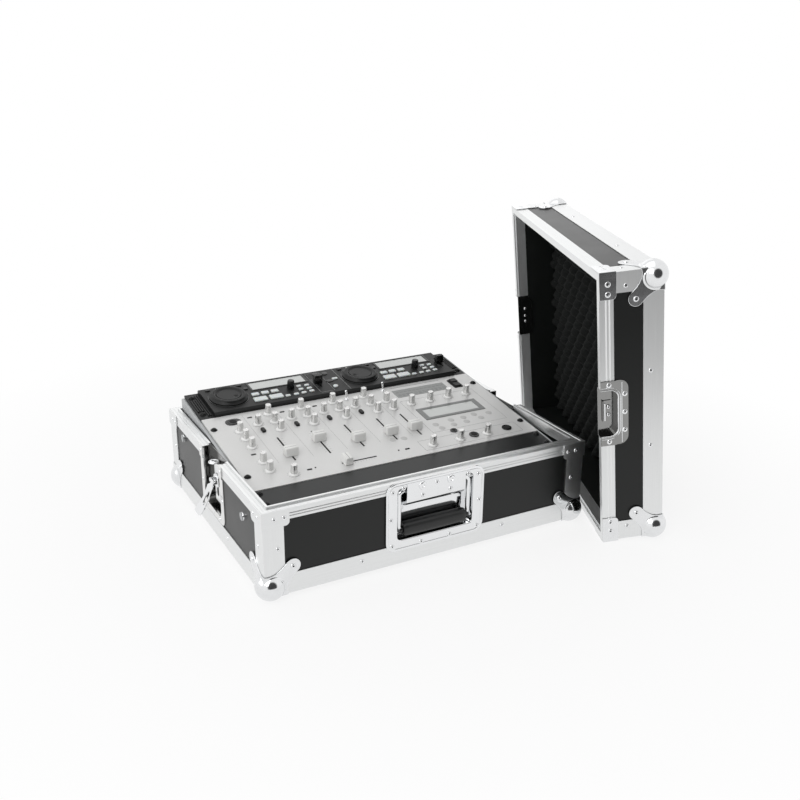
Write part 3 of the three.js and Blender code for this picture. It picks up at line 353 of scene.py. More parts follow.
def soft_edge(low, high, radius, steps=3):
    """Profile of a plate from low to high whose upper edge is a quarter circle."""
    angle = np.linspace(0, math.pi / 2, steps + 1)
    curve = zip(radius * (1 - np.cos(angle)), high - radius + radius * np.sin(angle))
    return [(0, low), *((float(by), float(height)) for by, height in curve)]


def soft_block(width, length, low, high, radius, corner=None, steps=3):
    """A block from low to high with quarter-round corners and a quarter-round upper edge."""
    outline = rounded(width, length, corner or radius, steps)
    return pad(outline, soft_edge(low, high, radius, steps))


def lathe(profile, sides=32):
    """Surface of revolution about z: a ring of each radius at each height."""
    ring = circle(1, sides)
    return skin([level(ring * radius, height) for radius, height in profile])


def carried(path, section, flat=(0, 0, 1), loop=False):
    """A section carried along a path that lies in one plane: its first axis is the direction
    square to that plane, and its second is that direction x tangent."""
    path = np.asarray(path, float)
    if loop:
        tangent = np.roll(path, -1, axis=0) - np.roll(path, 1, axis=0)
    else:
        tangent = np.gradient(path, axis=0)
    tangent = tangent / np.linalg.norm(tangent, axis=1, keepdims=True)
    first = np.asarray(flat, float)[None, None, :]
    second = np.cross(first[0], tangent)[:, None]
    rings = path[:, None] + section[None, :, :1] * first + section[None, :, 1:] * second
    return skin(rings, loop)


def window_frame(outer, inner, soft, heights):
    """A flat frame round a window: up its outer wall, over a soft edge, across its top and down
    the wall of its opening, which leans in by 0.2."""
    foot, shoulder, top, sill, under = heights
    opening = inset(inner, 0.2)
    rings = [level(outer, foot), level(outer, shoulder), level(inset(outer, soft), top)]
    return skin([*rings, level(inner, top), level(opening, sill), level(opening, under)], loop=True)


def rod(start, end, radius, sides=16):
    """A circle carried along a straight line."""
    return carried(np.linspace(start, end, 3), circle(radius, sides))


def line_of(points, width, height):
    """A thin raised line along flat points, as a small rectangle carried along them."""
    section = np.array([(0, -width / 2), (height, -width / 2), (height, width / 2), (0, width / 2)])
    return carried(np.column_stack([points, np.zeros(len(points))]), section)


# Objects

# Materials by the short names that the pieces use
FINISHES = {}


def piece(name, painted, place, body, replaces=(), crease=35):
    """One object from pairs of a surface and a finish's name, set at a place and riding on a body."""
    surfaces = [outward(moved(surface, place)) for surface, _ in painted]
    finishes = list(dict.fromkeys(finish for _, finish in painted))
    indices = [finishes.index(finish) for _, finish in painted]
    points, quads, ends = merged(surfaces)
    mesh = bpy.data.meshes.new(name)
    mesh.from_pydata((points * MM).tolist(), [], quads.tolist() + ends)
    quad_index = np.repeat(indices, [len(surface[1]) for surface in surfaces])
    end_index = np.repeat(indices, [len(surface[2]) for surface in surfaces])
    for finish in finishes:
        mesh.materials.append(FINISHES[finish])
    mesh.polygons.foreach_set("material_index", np.concatenate([quad_index, end_index]).astype(np.int32))
    mesh.shade_smooth()
    mesh.set_sharp_from_angle(angle=math.radians(crease))
    mesh.update()
    made = bpy.data.objects.new(name, mesh)
    bpy.context.scene.collection.objects.link(made)
    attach(made, body)
    if replaces:
        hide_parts(*replaces)
    return made


# Materials

def add(tree, kind, settings=None, links=None):
    """Adds one node: settings fill its attributes or sockets, links join its sockets to outputs."""
    made = tree.nodes.new(kind)
    for key, value in (settings or {}).items():
        if isinstance(key, str) and hasattr(made, key):
            setattr(made, key, value)
        else:
            made.inputs[key].default_value = value
    for key, output in (links or {}).items():
        tree.links.new(output, made.inputs[key])
    return made


def fresh(name):
    """A new material with an empty node tree."""
    material = bpy.data.materials.new(name)
    material.use_nodes = True
    material.node_tree.nodes.clear()
    return material, material.node_tree


def finished(tree, settings, links):
    """Ends a tree with its shader and its output."""
    shader = add(tree, "ShaderNodeBsdfPrincipled", settings, links)
    add(tree, "ShaderNodeOutputMaterial", links={"Surface": shader.outputs[0]})


def object_place(tree):
    """Where a point lies in its object, in metres."""
    return add(tree, "ShaderNodeTexCoord").outputs["Object"]


def noise(tree, vector, grain, detail=3.0, settings=None):
    """Cloudy noise from 0 to 1, of one real size in millimetres."""
    wanted = {"Scale": 1 / (grain * MM), "Detail": detail, **(settings or {})}
    return add(tree, "ShaderNodeTexNoise", wanted, {"Vector": vector}).outputs["Fac"]


def cells(tree, vector, pitch, randomness=1.0):
    """Distance from the nearest of many middles, about a pitch in millimetres apart."""
    wanted = {"Scale": 1 / (pitch * MM), "Randomness": randomness}
    return add(tree, "ShaderNodeTexVoronoi", wanted, {"Vector": vector}).outputs["Distance"]


def blended(tree, share, low, high):
    """A colour between two, by a share from 0 to 1."""
    wanted = {"data_type": "RGBA", COLOUR_A: low, COLOUR_B: high}
    return add(tree, "ShaderNodeMix", wanted, {MIX_SHARE: share}).outputs[2]


def ranged(tree, value, low, high, start=0.0, end=1.0):
    """A value between start and end, brought in step between low and high."""
    wanted = {"From Min": start, "From Max": end, "To Min": low, "To Max": high}
    return add(tree, "ShaderNodeMapRange", wanted, {"Value": value}).outputs[0]


def eased(tree, value, start, end):
    """0 up to the start, 1 from the end on, and a smooth rise between them."""
    wanted = {"interpolation_type": "SMOOTHSTEP", "From Min": start, "From Max": end}
    return add(tree, "ShaderNodeMapRange", wanted, {"Value": value}).outputs[0]


def bumped(tree, height, relief, strength=1.0):
    """Bump from a map of heights, whose relief is given in millimetres."""
    wanted = {"Strength": strength, "Distance": relief * MM}
    return add(tree, "ShaderNodeBump", wanted, {"Height": height}).outputs[0]


def joined(tree, operation, first, second):
    """Two values made one by an operation."""
    return add(tree, "ShaderNodeMath", {"operation": operation}, {0: first, 1: second}).outputs[0]


def toned(name, colour, drift, grain, roughness, metallic=0.0, relief=0.0, along=(1, 1, 1), turn=None,
          spread=0.06, extra=None):
    """A finish whose tone drifts down from its colour by a share, by noise of one real size in
    millimetres. Its roughness drifts with it, and its relief in millimetres is bump of the same
    noise. The noise may be drawn out along some axes, turned to follow a leaning shell."""
    material, tree = fresh(name)
    light = linear(colour) if isinstance(colour, str) else colour
    settings = {"vector_type": "TEXTURE", "Scale": along}
    if turn is not None:
        settings["Rotation"] = turn
    mapped = add(tree, "ShaderNodeMapping", settings, {"Vector": object_place(tree)})
    cloud = noise(tree, mapped.outputs["Vector"], grain, settings={"Roughness": 0.6})
    tone = blended(tree, cloud, shade(light, 1 - drift), shade(light))
    gloss = ranged(tree, cloud, max(roughness - spread, 0.02), roughness + spread)
    links = {"Base Color": tone, "Roughness": gloss}
    if relief:
        links["Normal"] = bumped(tree, cloud, relief)
    finished(tree, {"Metallic": metallic, **(extra or {})}, links)
    return material


def embossed_laminate(colour):
    """Phenolic laminate pressed on birch plywood: black with a fine pebbled print. The pebbles are
    about 0.8 mm apart in life and are drawn at 1.6 mm so that they show. Light grazing the face
    turns it grey, which its sheen gives."""
    material, tree = fresh("black_phenolic_laminate_embossed")
    place = object_place(tree)
    pebbles = cells(tree, place, 1.6, 0.8)
    drift = noise(tree, place, 60, 4.0)
    tone = blended(tree, drift, shade(colour, 0.8), shade(colour, 1.2))
    gloss = ranged(tree, drift, 0.3, 0.4)
    bump = bumped(tree, pebbles, 0.03, 0.4)
    finished(
        tree,
        {"Specular IOR Level": 0.36, "Sheen Weight": 0.65, "Sheen Roughness": 0.2},
        {"Base Color": tone, "Roughness": gloss, "Normal": bump},
    )
    return material


def drawn_aluminium(name, colour, along=(60, 60, 1), turn=None):
    """Anodised aluminium extrusion: fine die lines run along it, about 0.3 mm apart in life and
    drawn at 1.4 mm, so that it shines in long soft streaks."""
    return toned(name, colour, 0.1, 1.4, 0.38, 1.0, 0.003, along, turn, spread=0.05)


def drawn_pocket(name):
    """Nickel plated dish, drawn deep: bright on its flange, which stands at the shell's outer side, and dark
    down in its pocket, where its colour carries painted shade of the pocket's depth."""
    material, tree = fresh(name)
    place = object_place(tree)
    parts = add(tree, "ShaderNodeSeparateXYZ", {}, {0: place})
    aside = add(tree, "ShaderNodeMath", {"operation": "ABSOLUTE"}, {0: parts.outputs[0]})
    flange = CASE_WIDTH / 2 * MM
    # Painted shade: the colour falls to a dark grey down in the pocket, away from the flange
    out_of_painted_shade = eased(tree, aside.outputs[0], flange - 5 * MM, flange - 1 * MM)
    gloss = ranged(tree, noise(tree, place, 9), 0.07, 0.16)
    tone = blended(tree, out_of_painted_shade, shade(linear("#858584")), shade(linear("#E2E2E1")))
    finished(tree, {"Metallic": 1.0}, {"Base Color": tone, "Roughness": gloss})
    return material


def pored_foam(colour):
    """Polyurethane foam, cut in egg-crate form: open pores of about 1 mm, drawn at 2 mm, on a dull charcoal;
    each pore darkens towards its middle as painted shade."""
    material, tree = fresh("charcoal_polyurethane_foam_convoluted")
    pores = cells(tree, object_place(tree), 2)
    # Painted shade: the tone falls to 0.35 of the colour at the middle of each pore
    tone = blended(tree, pores, shade(colour, 0.35), shade(colour))
    bump = bumped(tree, pores, 0.4, 0.8)
    finished(
        tree,
        {"Roughness": 0.95, "Specular IOR Level": 0.2},
        {"Base Color": tone, "Normal": bump},
    )
    return material


def make_finishes(colours):
    """Every finish of the case and its gear, under a short name."""
    lid_turn = Matrix(LID[:3, :3].tolist()).to_euler()
    metal, plate = colours.aluminium, colours.plating
    FINISHES["laminate"] = embossed_laminate(colours.laminate)
    FINISHES["aluminium"] = drawn_aluminium("anodised_aluminium_extrusion", metal)
    FINISHES["upright"] = drawn_aluminium("anodised_aluminium_corner_extrusion", metal, (1, 1, 60))
    FINISHES["lid_aluminium"] = drawn_aluminium("anodised_aluminium_extrusion_lid", metal, turn=lid_turn)
    FINISHES["foam"] = pored_foam(colours.foam)
    # Chrome plated steel: pressed and polished, so it mirrors the room with faint polishing haze
    FINISHES["chrome"] = toned(
        "chrome_plated_steel_pressed", plate, 0.06, 30, 0.08, 1.0, 0.003, spread=0.03)
    FINISHES["pocket"] = drawn_pocket("nickel_plated_steel_latch_dish_painted_shade")
    # Black nickel plated strikes: pressed like the dishes, but a darker, greyer mirror
    FINISHES["strike"] = toned(
        "dark_nickel_plated_steel_strike", "#929291", 0.1, 22, 0.12, 1.0, 0.004, spread=0.03)
    # Bright zinc plate on stamped steel: a little duller than chrome, with a cloudy drift
    FINISHES["zinc"] = toned(
        "bright_zinc_plated_steel_stamped", plate, 0.14, 12, 0.13, 1.0, 0.003, spread=0.04)
    # Nickel plated rivet steel: small domes that catch one highlight each
    FINISHES["rivet"] = toned("nickel_plated_rivet_steel", "#EDEEEF", 0.1, 3, 0.16, 1.0)
    # Rivet mandrels: their dark steel is painted shade of each rivet's sunk centre
    FINISHES["rivet_core"] = toned("rivet_mandrel_painted_shade", "#38393A", 0.5, 2, 0.4, 0.8)
    # Zinc plated rail steel: rolled sheet, matt and mid grey
    FINISHES["rail"] = toned("zinc_plated_rail_steel_rolled", "#BBBDBE", 0.3, 8, 0.36, 1.0, 0.004)
    # Natural rubber sleeve, moulded: soft black with a low wide sheen
    FINISHES["rubber"] = toned("black_rubber_sleeve_moulded", "#1A1B1B", 0.4, 2, 0.38, 0.0, 0.02)
    # Powder coated steel panel: semi-gloss black with a slight orange peel
    FINISHES["powder"] = toned(
        "black_powder_coated_steel", "#171919", 0.3, 1.6, 0.36, 0.0, 0.01, extra={"Specular IOR Level": 0.4})
    # Chassis sheet: plain black painted steel, out of sight but for the gaps
    FINISHES["chassis"] = toned("black_painted_chassis_steel", "#181919", 0.4, 5, 0.5)
    # Silver lacquer on the mixer's aluminium face: satin, with a metal flake too fine to resolve
    FINISHES["face"] = toned(
        "silver_lacquered_aluminium_face", colours.mixer, 0.07, 2.4, 0.42, 0.25, 0.005)
    # Silver lacquered ABS of knobs and caps: brighter than the face, with a soft highlight
    FINISHES["knob"] = toned("silver_lacquered_abs_knob", colours.knobs, 0.1, 2, 0.24, 0.85)
    FINISHES["skirt"] = toned("white_abs_knob_skirt", "#F0F0EF", 0.06, 3, 0.3)
    FINISHES["cap"] = toned("satin_white_abs_fader_cap", "#E8E8E6", 0.07, 3, 0.34, 0.1)
    # Black moulded plastics: a fine spark-eroded grain of about 0.3 mm, drawn at 0.9 mm
    FINISHES["black"] = toned(
        "black_abs_moulded_spark_grain", "#131414", 0.45, 0.9, 0.46, 0.0, 0.02,
        extra={"Specular IOR Level": 0.34})
    FINISHES["gloss_black"] = toned("black_abs_moulded_gloss", "#121313", 0.3, 4, 0.2)
    # Translucent pale keys: moulded silicone with a slight cloud
    FINISHES["key"] = toned(
        "pale_silicone_key_moulded", "#E6E7E5", 0.12, 3, 0.34, extra={"Subsurface Weight": 0.1})
    FINISHES["glass"] = toned("pale_display_glass", "#CBCECC", 0.12, 25, 0.12, extra={"Coat Weight": 0.6})
    FINISHES["frame_grey"] = toned("grey_printed_acrylic_frame", "#7C7E7D", 0.2, 4, 0.3)
    FINISHES["strip"] = toned("grey_printed_label_strip", "#989A99", 0.2, 2, 0.4)
    FINISHES["ink"] = toned("grey_screen_print_ink", "#929393", 0.2, 1.5, 0.5)
    # Black for real black parts, and painted shade in slots, jack holes and screw recesses
    FINISHES["slot"] = toned("black_plastic_and_painted_slot_shade", "#0A0A0A", 0.4, 2, 0.8)
    FINISHES["screw"] = toned("black_oxide_screw_steel", "#202121", 0.5, 2, 0.28, 0.7)
    FINISHES["pad"] = toned("pale_rubber_key_pad", "#C7C7C6", 0.1, 3, 0.5)


# Finishes of the frame's own nodes, by how their names start: the first line that fits is taken
NODE_FINISHES = (
    ("tray_edge_frame", "aluminium"), ("tray_rim", "aluminium"), ("tray_corner_angle", "upright"),
    ("tray_ball_corner", "zinc"), ("tray_", "laminate"),
    ("lid_edge_frame", "lid_aluminium"), ("lid_rim", "lid_aluminium"), ("lid_ball_corner", "zinc"),
    ("lid_strike", "strike"), ("lid_foam", "foam"), ("lid_", "laminate"),
    ("handle_grip", "rubber"), ("handle_", "chrome"),
    ("latch_dish", "pocket"), ("latch_", "zinc"),
    ("rack_rail", "rail"), ("blank_panel", "powder"),
    ("mixer_face", "face"), ("mixer_chassis", "chassis"), ("mixer_", "cap"),
    ("player_", "black"),
)


def dress_nodes():
    """Gives each of the frame's nodes the finish that goes with its name."""
    for name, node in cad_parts.items():
        look = next(finish for start, finish in NODE_FINISHES if name.startswith(start))
        if not node.material_slots:
            node.data.materials.append(FINISHES[look])
        for slot in node.material_slots:
            slot.material = FINISHES[look]


# Case hardware

def rivet_head(radius, height):
    """A domed rivet head about z: a low dome round a small sunk centre."""
    dome = ((0.93, 0.55), (0.78, 0.85), (0.55, 1), (0.38, 0.96), (0.3, 0.6))
    foot = [(radius, -0.6), (radius, 0.15)]
    return lathe([*foot, *((radius * across, height * up) for across, up in dome)], 14)


def rivet_core(radius, height):
    """The broken end of the rivet's mandrel, which fills the sunk centre; its dark finish is painted shade of
    that hollow.
    """
    wide = radius * 0.34
    return lathe([(wide, -0.3), (wide, height * 0.66), (radius * 0.2, height * 0.74)], 10)


def rivets(name, place, body, spots, sizes, grow=1.0):
    """Rivets at spots given as (side, along, up, out), each in its side's frame."""
    radius, height = grow * sizes.rivet_radius / MM, sizes.rivet_height / MM
    matrices = [SIDES[side] @ shifted(along, up, out) for side, along, up, out in spots]
    heads = copied(rivet_head(radius, height), matrices)
    cores = copied(rivet_core(radius, height), matrices)
    return piece(name, [(heads, "rivet"), (cores, "rivet_core")], place, body)


def lid_braces():
    """Zinc plated braces bent round the lid's rim corners, a skin over the rim's own: a plate with
    one round corner on each side of the corner."""
    bend, far, low = 6.1, 38.1, 68.9
    high = LID_HEIGHT + 0.02
    wrap = -PLATE_PROUD - 0.15
    angle = np.linspace(-math.pi / 2, 0, 7)
    turn = np.column_stack([far - bend + bend * np.cos(angle), low + bend + bend * np.sin(angle)])
    plain = np.vstack([[(wrap, high), (wrap, low)], turn, [(far, high)]])
    plates = []
    for side, length in SIDE_LENGTH.items():
        for outline in (plain, (plain * (-1, 1) + (length, 0))[::-1]):
            plate = pad(outline, [(0, 1.2), (0, 1.55), (0.08, 1.66), (0.22, 1.7)])
            plates.append(moved(plate, SIDES[side]))
    piece("lid_rim_braces", [(merged(plates), "zinc")], LID, "lid")


def both_ends(spots):
    """Spots given from one end of each standing side, and again from its other end."""
    found = []
    for along, up, out in spots:
        for side, length in SIDE_LENGTH.items():
            found.append((side, along, up, out))
            found.append((side, length - along, up, out))
    return found


def edge_spots(pitch):
    """Rivets along the lower edge angle, a pitch apart and even about the middle of each side. The
    long sides have none in the middle, where the handle's dish is."""
    found = []
    for side, length in SIDE_LENGTH.items():
        first = pitch if length == CASE_WIDTH else pitch / 2
        for along in np.arange(first, length / 2 - 60, pitch):
            found += [(side, length / 2 + way * along, EDGE_RIVET_UP, 0) for way in (-1, 1)]
    return found


def petal_outline():
    """A ball corner's plate: a foot along each edge, a waist and a round lobe between. Each waist is
    a curve (1 - t)^2 a + 2 t (1 - t) b + t^2 c from the foot past a shoulder to the lobe."""
    share = np.linspace(0, 1, 9)[:, None]
    side = LOBE_RADIUS * math.sqrt(0.5)
    foot = np.array([33, -ARRIS_LAP])
    shoulder = np.array([28.05, 16.4])
    lobe_low = np.array([LOBE_REACH + side, LOBE_REACH - side])
    waist = (1 - share) ** 2 * foot + 2 * share * (1 - share) * shoulder + share ** 2 * lobe_low
    angle = np.linspace(-math.pi / 4, 3 * math.pi / 4, 17)[1:-1, None]
    lobe = LOBE_REACH + LOBE_RADIUS * np.hstack([np.cos(angle), np.sin(angle)])
    under_ball = [(-ARRIS_LAP, 4), (4, -ARRIS_LAP)]
    return np.vstack([under_ball, waist, lobe, waist[::-1, ::-1]])


# The three faces that meet at a corner, each as a frame of its two edges and outward
CORNER_FACES = (
    placed(((1, 0, 0), (0, 0, 1), (0, -1, 0)), (0, 0, 0)),
    placed(((0, 0, 1), (0, 1, 0), (-1, 0, 0)), (0, 0, 0)),
    placed(((0, 1, 0), (1, 0, 0), (0, 0, -1)), (0, 0, 0)),
)


def ball_shell():
    """The ball as rings of the sphere about (inset, inset, inset). What lies inside the corner is
    folded back to its faces: such a point moves along (1, 1, 1) until its least coordinate is just
    under them."""
    rise = np.linspace(0.01 - math.pi / 2, math.pi / 2 - 0.01, 37)
    rings = [level(circle(BALL_RADIUS * math.cos(at), 64), BALL_RADIUS * math.sin(at)) for at in rise]
    points = np.array(rings) + BALL_INSET
    least = points.min(axis=-1, keepdims=True)
    return skin(points - np.maximum(least - BALL_FOLD, 0))


def ball_flare():
    """The press's soft step from a plate up to the ball: rings about the ball's circle on that face,
    which sink into the ball where they would pass the corner's edges. Each step is how far it lies
    outside that circle, and its height."""
    foot = math.sqrt(BALL_RADIUS ** 2 - (BALL_INSET + PLATE_PROUD) ** 2)
    steps = [(3.2, 0.6), (3.2, 1.45), (1.9, 1.65), (1.0, 2.05), (0.3, 2.8), (-2.4, 3.0)]
    sunk, fade = 3, 8
    ring = circle(1, 64)
    rings = []
    for more, out in steps:
        nominal = ring * (foot + more) + BALL_INSET
        share = smooth(nominal.min(axis=1, keepdims=True) / fade)
        rings.append(level(ring * (foot - sunk + (more + sunk) * share) + BALL_INSET, out))
    return skin(rings)


def ball_corner(prefix, corner, place, body):
    """Three pressed plates, bent round the corner's edges, with a ball over them and a rivet
    through each lobe."""
    plate = pad(petal_outline(), [(0, SEAT), (0, 1.1), (0.12, 1.38), (0.4, PLATE_PROUD)])
    lobe = shifted(LOBE_REACH, LOBE_REACH, PLATE_PROUD)
    head = moved(rivet_head(4.2, 1.7), lobe)
    core = moved(rivet_core(4.2, 1.7), lobe)
    bends = [rod(axis * 4, axis * 32.8, PLATE_PROUD, 24) for axis in np.eye(3)]
    painted = [(ball_shell(), "zinc"), (merged(bends), "zinc")]
    for face in CORNER_FACES:
        painted += [(moved(part, face), "zinc") for part in (plate, ball_flare())]
        painted += [(moved(head, face), "rivet"), (moved(core, face), "rivet_core")]
    node = f"{prefix}_ball_corner_{corner}"
    return piece(f"{node}_pressed", painted, place @ CORNERS[corner], body, [node])


# Mixer

def fluted(profile, sides, flutes, depth, low, high):
    """Surface of revolution whose radius is cut by (1 - cos(flutes x angle)) / 2 times a depth,
    only between two heights: r = R(h) - depth (0.5 - 0.5 cos(n a))."""
    angle = np.arange(sides) * 2 * math.pi / sides
    wave = (0.5 - 0.5 * np.cos(flutes * angle)) * depth
    rings = []
    for radius, height in profile:
        cut = radius - wave * (low <= height <= high)
        rings.append(level(np.column_stack([cut * np.cos(angle), cut * np.sin(angle)]), height))
    return skin(rings)


def knob_places():
    """Places of the mixer's rotary knobs, row by row."""
    rows = [(across, up) for across in CHANNEL_ACROSS for up in CHANNEL_KNOB_UP]
    rows += [(across, FILTER_UP) for across in FILTER_ACROSS]
    rows += [(SIDE_KNOB_ACROSS, up) for up in SIDE_KNOB_UP]
    rows += [(across, EFFECT_UP) for across in EFFECT_ACROSS]
    return rows + list(LOOSE_KNOBS)


def mixer_knobs(sizes):
    """Fluted lacquered bodies with flared white skirts, fitted over the plain solid knobs."""
    top = sizes.knob_height / MM
    profile = [
        (5.05, 2.4), (5.15, 3.2), (5.0, 8), (4.85, 13), (4.75, top - 1.1), (4.55, top - 0.35),
        (4.1, top), (3.3, top), (3.0, top - 0.3), (2.6, top - 0.3),
    ]
    body = fluted(profile, 48, 12, 0.36, 3, top - 0.5)
    skirt = lathe([(7.2, 0.1), (7.5, 0.5), (7.45, 1.3), (7.0, 1.8), (6.2, 2.3), (5.6, 2.8), (4.6, 3)], 32)
    spots = [shifted(across, up) for across, up in knob_places()]
    pointer = soft_block(0.7, 3.6, top - 0.4, top + 0.12, 0.15)
    marks = copied(moved(pointer, shifted(0, 2.2)), spots)
    painted = [
        (copied(body, spots), "knob"), (copied(skirt, spots), "skirt"),
        (marks, "skirt"),
    ]
    piece("mixer_knobs", painted, RACK, "tray")


def cap_outline(half, foot, top, dip):
    """A slider cap seen from its side: long sides that lean in, soft upper edges and a finger
    groove in its top, which falls by dip (1 + cos(pi y)) / 2."""
    lean = half * 0.2
    groove = np.linspace(1, -1, 9)
    dished = [(y * half * 0.42, top - dip * (0.5 + 0.5 * math.cos(math.pi * y))) for y in groove]
    right = [
        (half, foot), (half - lean * 0.75, top - 1.3), (half - lean - 0.45, top - 0.25),
        (half - lean - 1.1, top),
    ]
    left = [(-across, up) for across, up in reversed(right)]
    return np.array([left[-1], *right, *dished, *left[:-1]])


def slider_cap(name, node, body, size, place, finish, dip=0.4):
    """A cap on its stem: its side outline carried across its width with soft ends, and a line
    across its top."""
    width, length, height = size
    foot = 0.6
    top = foot + height
    reach = width / 2
    ends = [(0.9, 0), (0.3, 0.3), (0, 0.9)]
    steps = [(by, back - reach) for by, back in ends] + [(by, reach - back) for by, back in reversed(ends)]
    upright = placed(((0, 1, 0), (0, 0, 1), (1, 0, 0)), (0, 0, 0))
    box = moved(pad(cap_outline(length / 2, foot, top, dip), steps), upright)
    line = soft_block(width * 0.9, 0.7, top - dip - 0.3, top - dip + 0.12, 0.1)
    stem = soft_block(1.6, 5, -2.2, 1.5, 0.2)
    painted = [(box, finish), (line, "ink"), (stem, "slot")]
    piece(name, painted, place, body, [node])


def mixer_caps():
    """The channel faders' caps, and the crossfader's, which is turned across."""
    for at, (across, up) in enumerate(zip(FADER_ACROSS, FADER_REST), start=1):
        slider_cap(f"fader_cap_{at}", f"mixer_fader_{at}", f"fader_{at}", (20, 14.5, 13),
                   RACK @ shifted(across, up), "cap")
    slider_cap("crossfader_cap", "mixer_crossfader", "crossfader", (19, 13, 12),
               RACK @ shifted(CROSS_REST, CROSS_UP) @ turned("z", math.pi / 2), "cap")


def tick_marks(spots, radius, count, sweep):
    """Dial marks: short radial lines evenly spaced over a sweep that leaves the bottom open."""
    mark = soft_block(0.45, 1.5, 0.02, 0.12, 0.04, steps=1)
    turns = np.linspace(-sweep / 2, sweep / 2, count)
    fan = [turned("z", angle) @ shifted(0, radius) for angle in turns]
    return copied(mark, [spot @ turn for spot in spots for turn in fan])


def framed(low, high, radius=2.0, width=0.55):
    """A thin printed frame round a rectangle with round corners."""
    (left, bottom), (right, top) = low, high
    path = rounded(right - left, top - bottom, radius) + ((left + right) / 2, (bottom + top) / 2)
    section = np.array([(0, -width / 2), (0.1, -width / 2), (0.1, width / 2), (0, width / 2)])
    return carried(np.column_stack([path, np.zeros(len(path))]), section, loop=True)


def ruled(start, end, width=0.5):
    """A straight printed line."""
    return line_of(np.linspace(start, end, 2), width, 0.1)


def mixer_print():
    """Generic screen print: dial marks, fader scales and the frames round the control groups."""
    spots = [shifted(across, up) for across, up in knob_places()]
    marks = [tick_marks(spots, 9.2, 11, math.radians(280))]
    near, far = 3.4, 6.4
    for across in FADER_ACROSS:
        for step in np.linspace(FADER_LOW, FADER_LOW + FADER_TRAVEL, 11):
            for side in (-1, 1):
                marks.append(ruled((across + side * near, step), (across + side * far, step), 0.22))
    for across in np.linspace(CROSS_LOW, CROSS_LOW + CROSS_TRAVEL, 11):
        marks.append(ruled((across, CROSS_UP - far), (across, CROSS_UP - near), 0.25))
    for across in CHANNEL_LINES:
        marks.append(ruled((across, 58), (across, 213), 0.28))
    marks += [framed(low, high, width=0.4) for low, high in GROUP_FRAMES]
    marks.append(ruled(*HEADING_LINE, 1.0))
    piece("mixer_print", [(merged(marks), "ink")], RACK, "tray")


def slots_and_switches():
    """Black strips along the sliders' slots, which are painted shade of the slot openings, slide switches and
    pin lights.
    """
    long, wide = 12, 2.7
    dark = []
    for across in FADER_ACROSS:
        # Painted shade: a black strip over each slot stands for its dark opening
        slot_shade = soft_block(wide, FADER_TRAVEL + long, 0, 0.18, 0.1)
        dark.append(moved(slot_shade, shifted(across, FADER_LOW + FADER_TRAVEL / 2)))
    slot_shade = soft_block(CROSS_TRAVEL + long, wide, 0, 0.18, 0.1)
    dark.append(moved(slot_shade, shifted(CROSS_LOW + CROSS_TRAVEL / 2, CROSS_UP)))
    switch = soft_block(8, 3, 0, 0.7, 0.4, 1.2)
    light = lathe([(1.3, 0), (1.3, 0.5), (0.9, 0.8)], 12)
    dark += [moved(switch, shifted(across, up)) for across, up in SLIDE_SWITCHES]
    dark += [moved(light, shifted(across, up)) for across, up in PIN_LIGHTS]
    return merged(dark)


def filter_switches_and_rocker():
    """A lever switch under each filter knob, and the rocker with its pressed half raised."""
    switches = [
        moved(soft_block(6.4, 12.5, 0, 3.4, 1.2, 2.6), shifted(across, FILTER_SWITCH_UP))
        for across in FILTER_ACROSS
    ]
    across, up = ROCKER_PLACE
    rocker = [
        moved(soft_block(17, 30, 0, 1.2, 0.6, 1.5), shifted(across, up)),
        moved(soft_block(13, 25, 1.0, 3.2, 1.0, 1.5), shifted(across, up)),
        moved(soft_block(12.4, 11, 3.0, 4.6, 0.8, 1.2), shifted(across, up + 6.5)),
    ]
    return merged(switches + rocker)


def mixer_inlays():
    """Painted shade strips along the slots, switches, the display with its frame, and the label strip with
    rows of bars in place of words."""
    display, label = shifted(*DISPLAY_PLACE), shifted(*LABEL_PLACE)
    outer, inner = rounded(112.5, 38.5, 1.5), rounded(95, 26.5, 1.0)
    bezel = window_frame(outer, inner, 0.4, (-0.2, 0.5, 0.9, 0.15, -0.3))
    glass = soft_block(95.4, 26.9, -0.5, 0.3, 0.1, 1.0)
    strip = soft_block(99, 26, 0, 0.4, 0.2, 1.0)
    bar = soft_block(5.6, 1.6, 0.35, 0.55, 0.1, steps=1)
    bars = copied(bar, [shifted(across, up) for across in np.linspace(-43, 43, 12) for up in (-8, -4, 4)])
    painted = [
        (slots_and_switches(), "slot"), (filter_switches_and_rocker(), "black"),
        (moved(bezel, display), "frame_grey"), (moved(glass, display), "glass"),
        (moved(strip, label), "strip"), (moved(bars, label), "frame_grey"),
    ]
    piece("mixer_inlays", painted, RACK, "tray")


def toggle(place):
    """A bat-handled toggle switch: hex nut, collar and a lever that widens to its tip."""
    nut = lathe([(4.3, 0), (4.3, 1.6), (3.8, 2.0)], 6)
    collar = lathe([(2.7, 1.5), (2.7, 3.4), (2.2, 3.8)], 20)
    lever = lathe([(1.2, 2), (1.4, 6), (2.3, 13), (2.35, 14.8), (1.7, 15.9), (0.5, 16.2)], 18)
    return moved(merged([nut, collar, moved(lever, turned("x", math.radians(-14)))]), place)


def jack_nut(radius):
    """A jack's round nut, and the dark disc that stands for its hole as painted shade."""
    ring = lathe([(radius + 2.6, 0), (radius + 2.6, 1.1), (radius + 2.1, 1.7), (radius + 0.3, 1.7),
                  (radius, 1.3)], 24)
    # Painted shade: the dark disc fills the jack's hole
    hole = lathe([(radius - 0.4, 1.25), (radius - 0.4, 1.8), (radius - 0.9, 1.85)], 20)
    return ring, hole


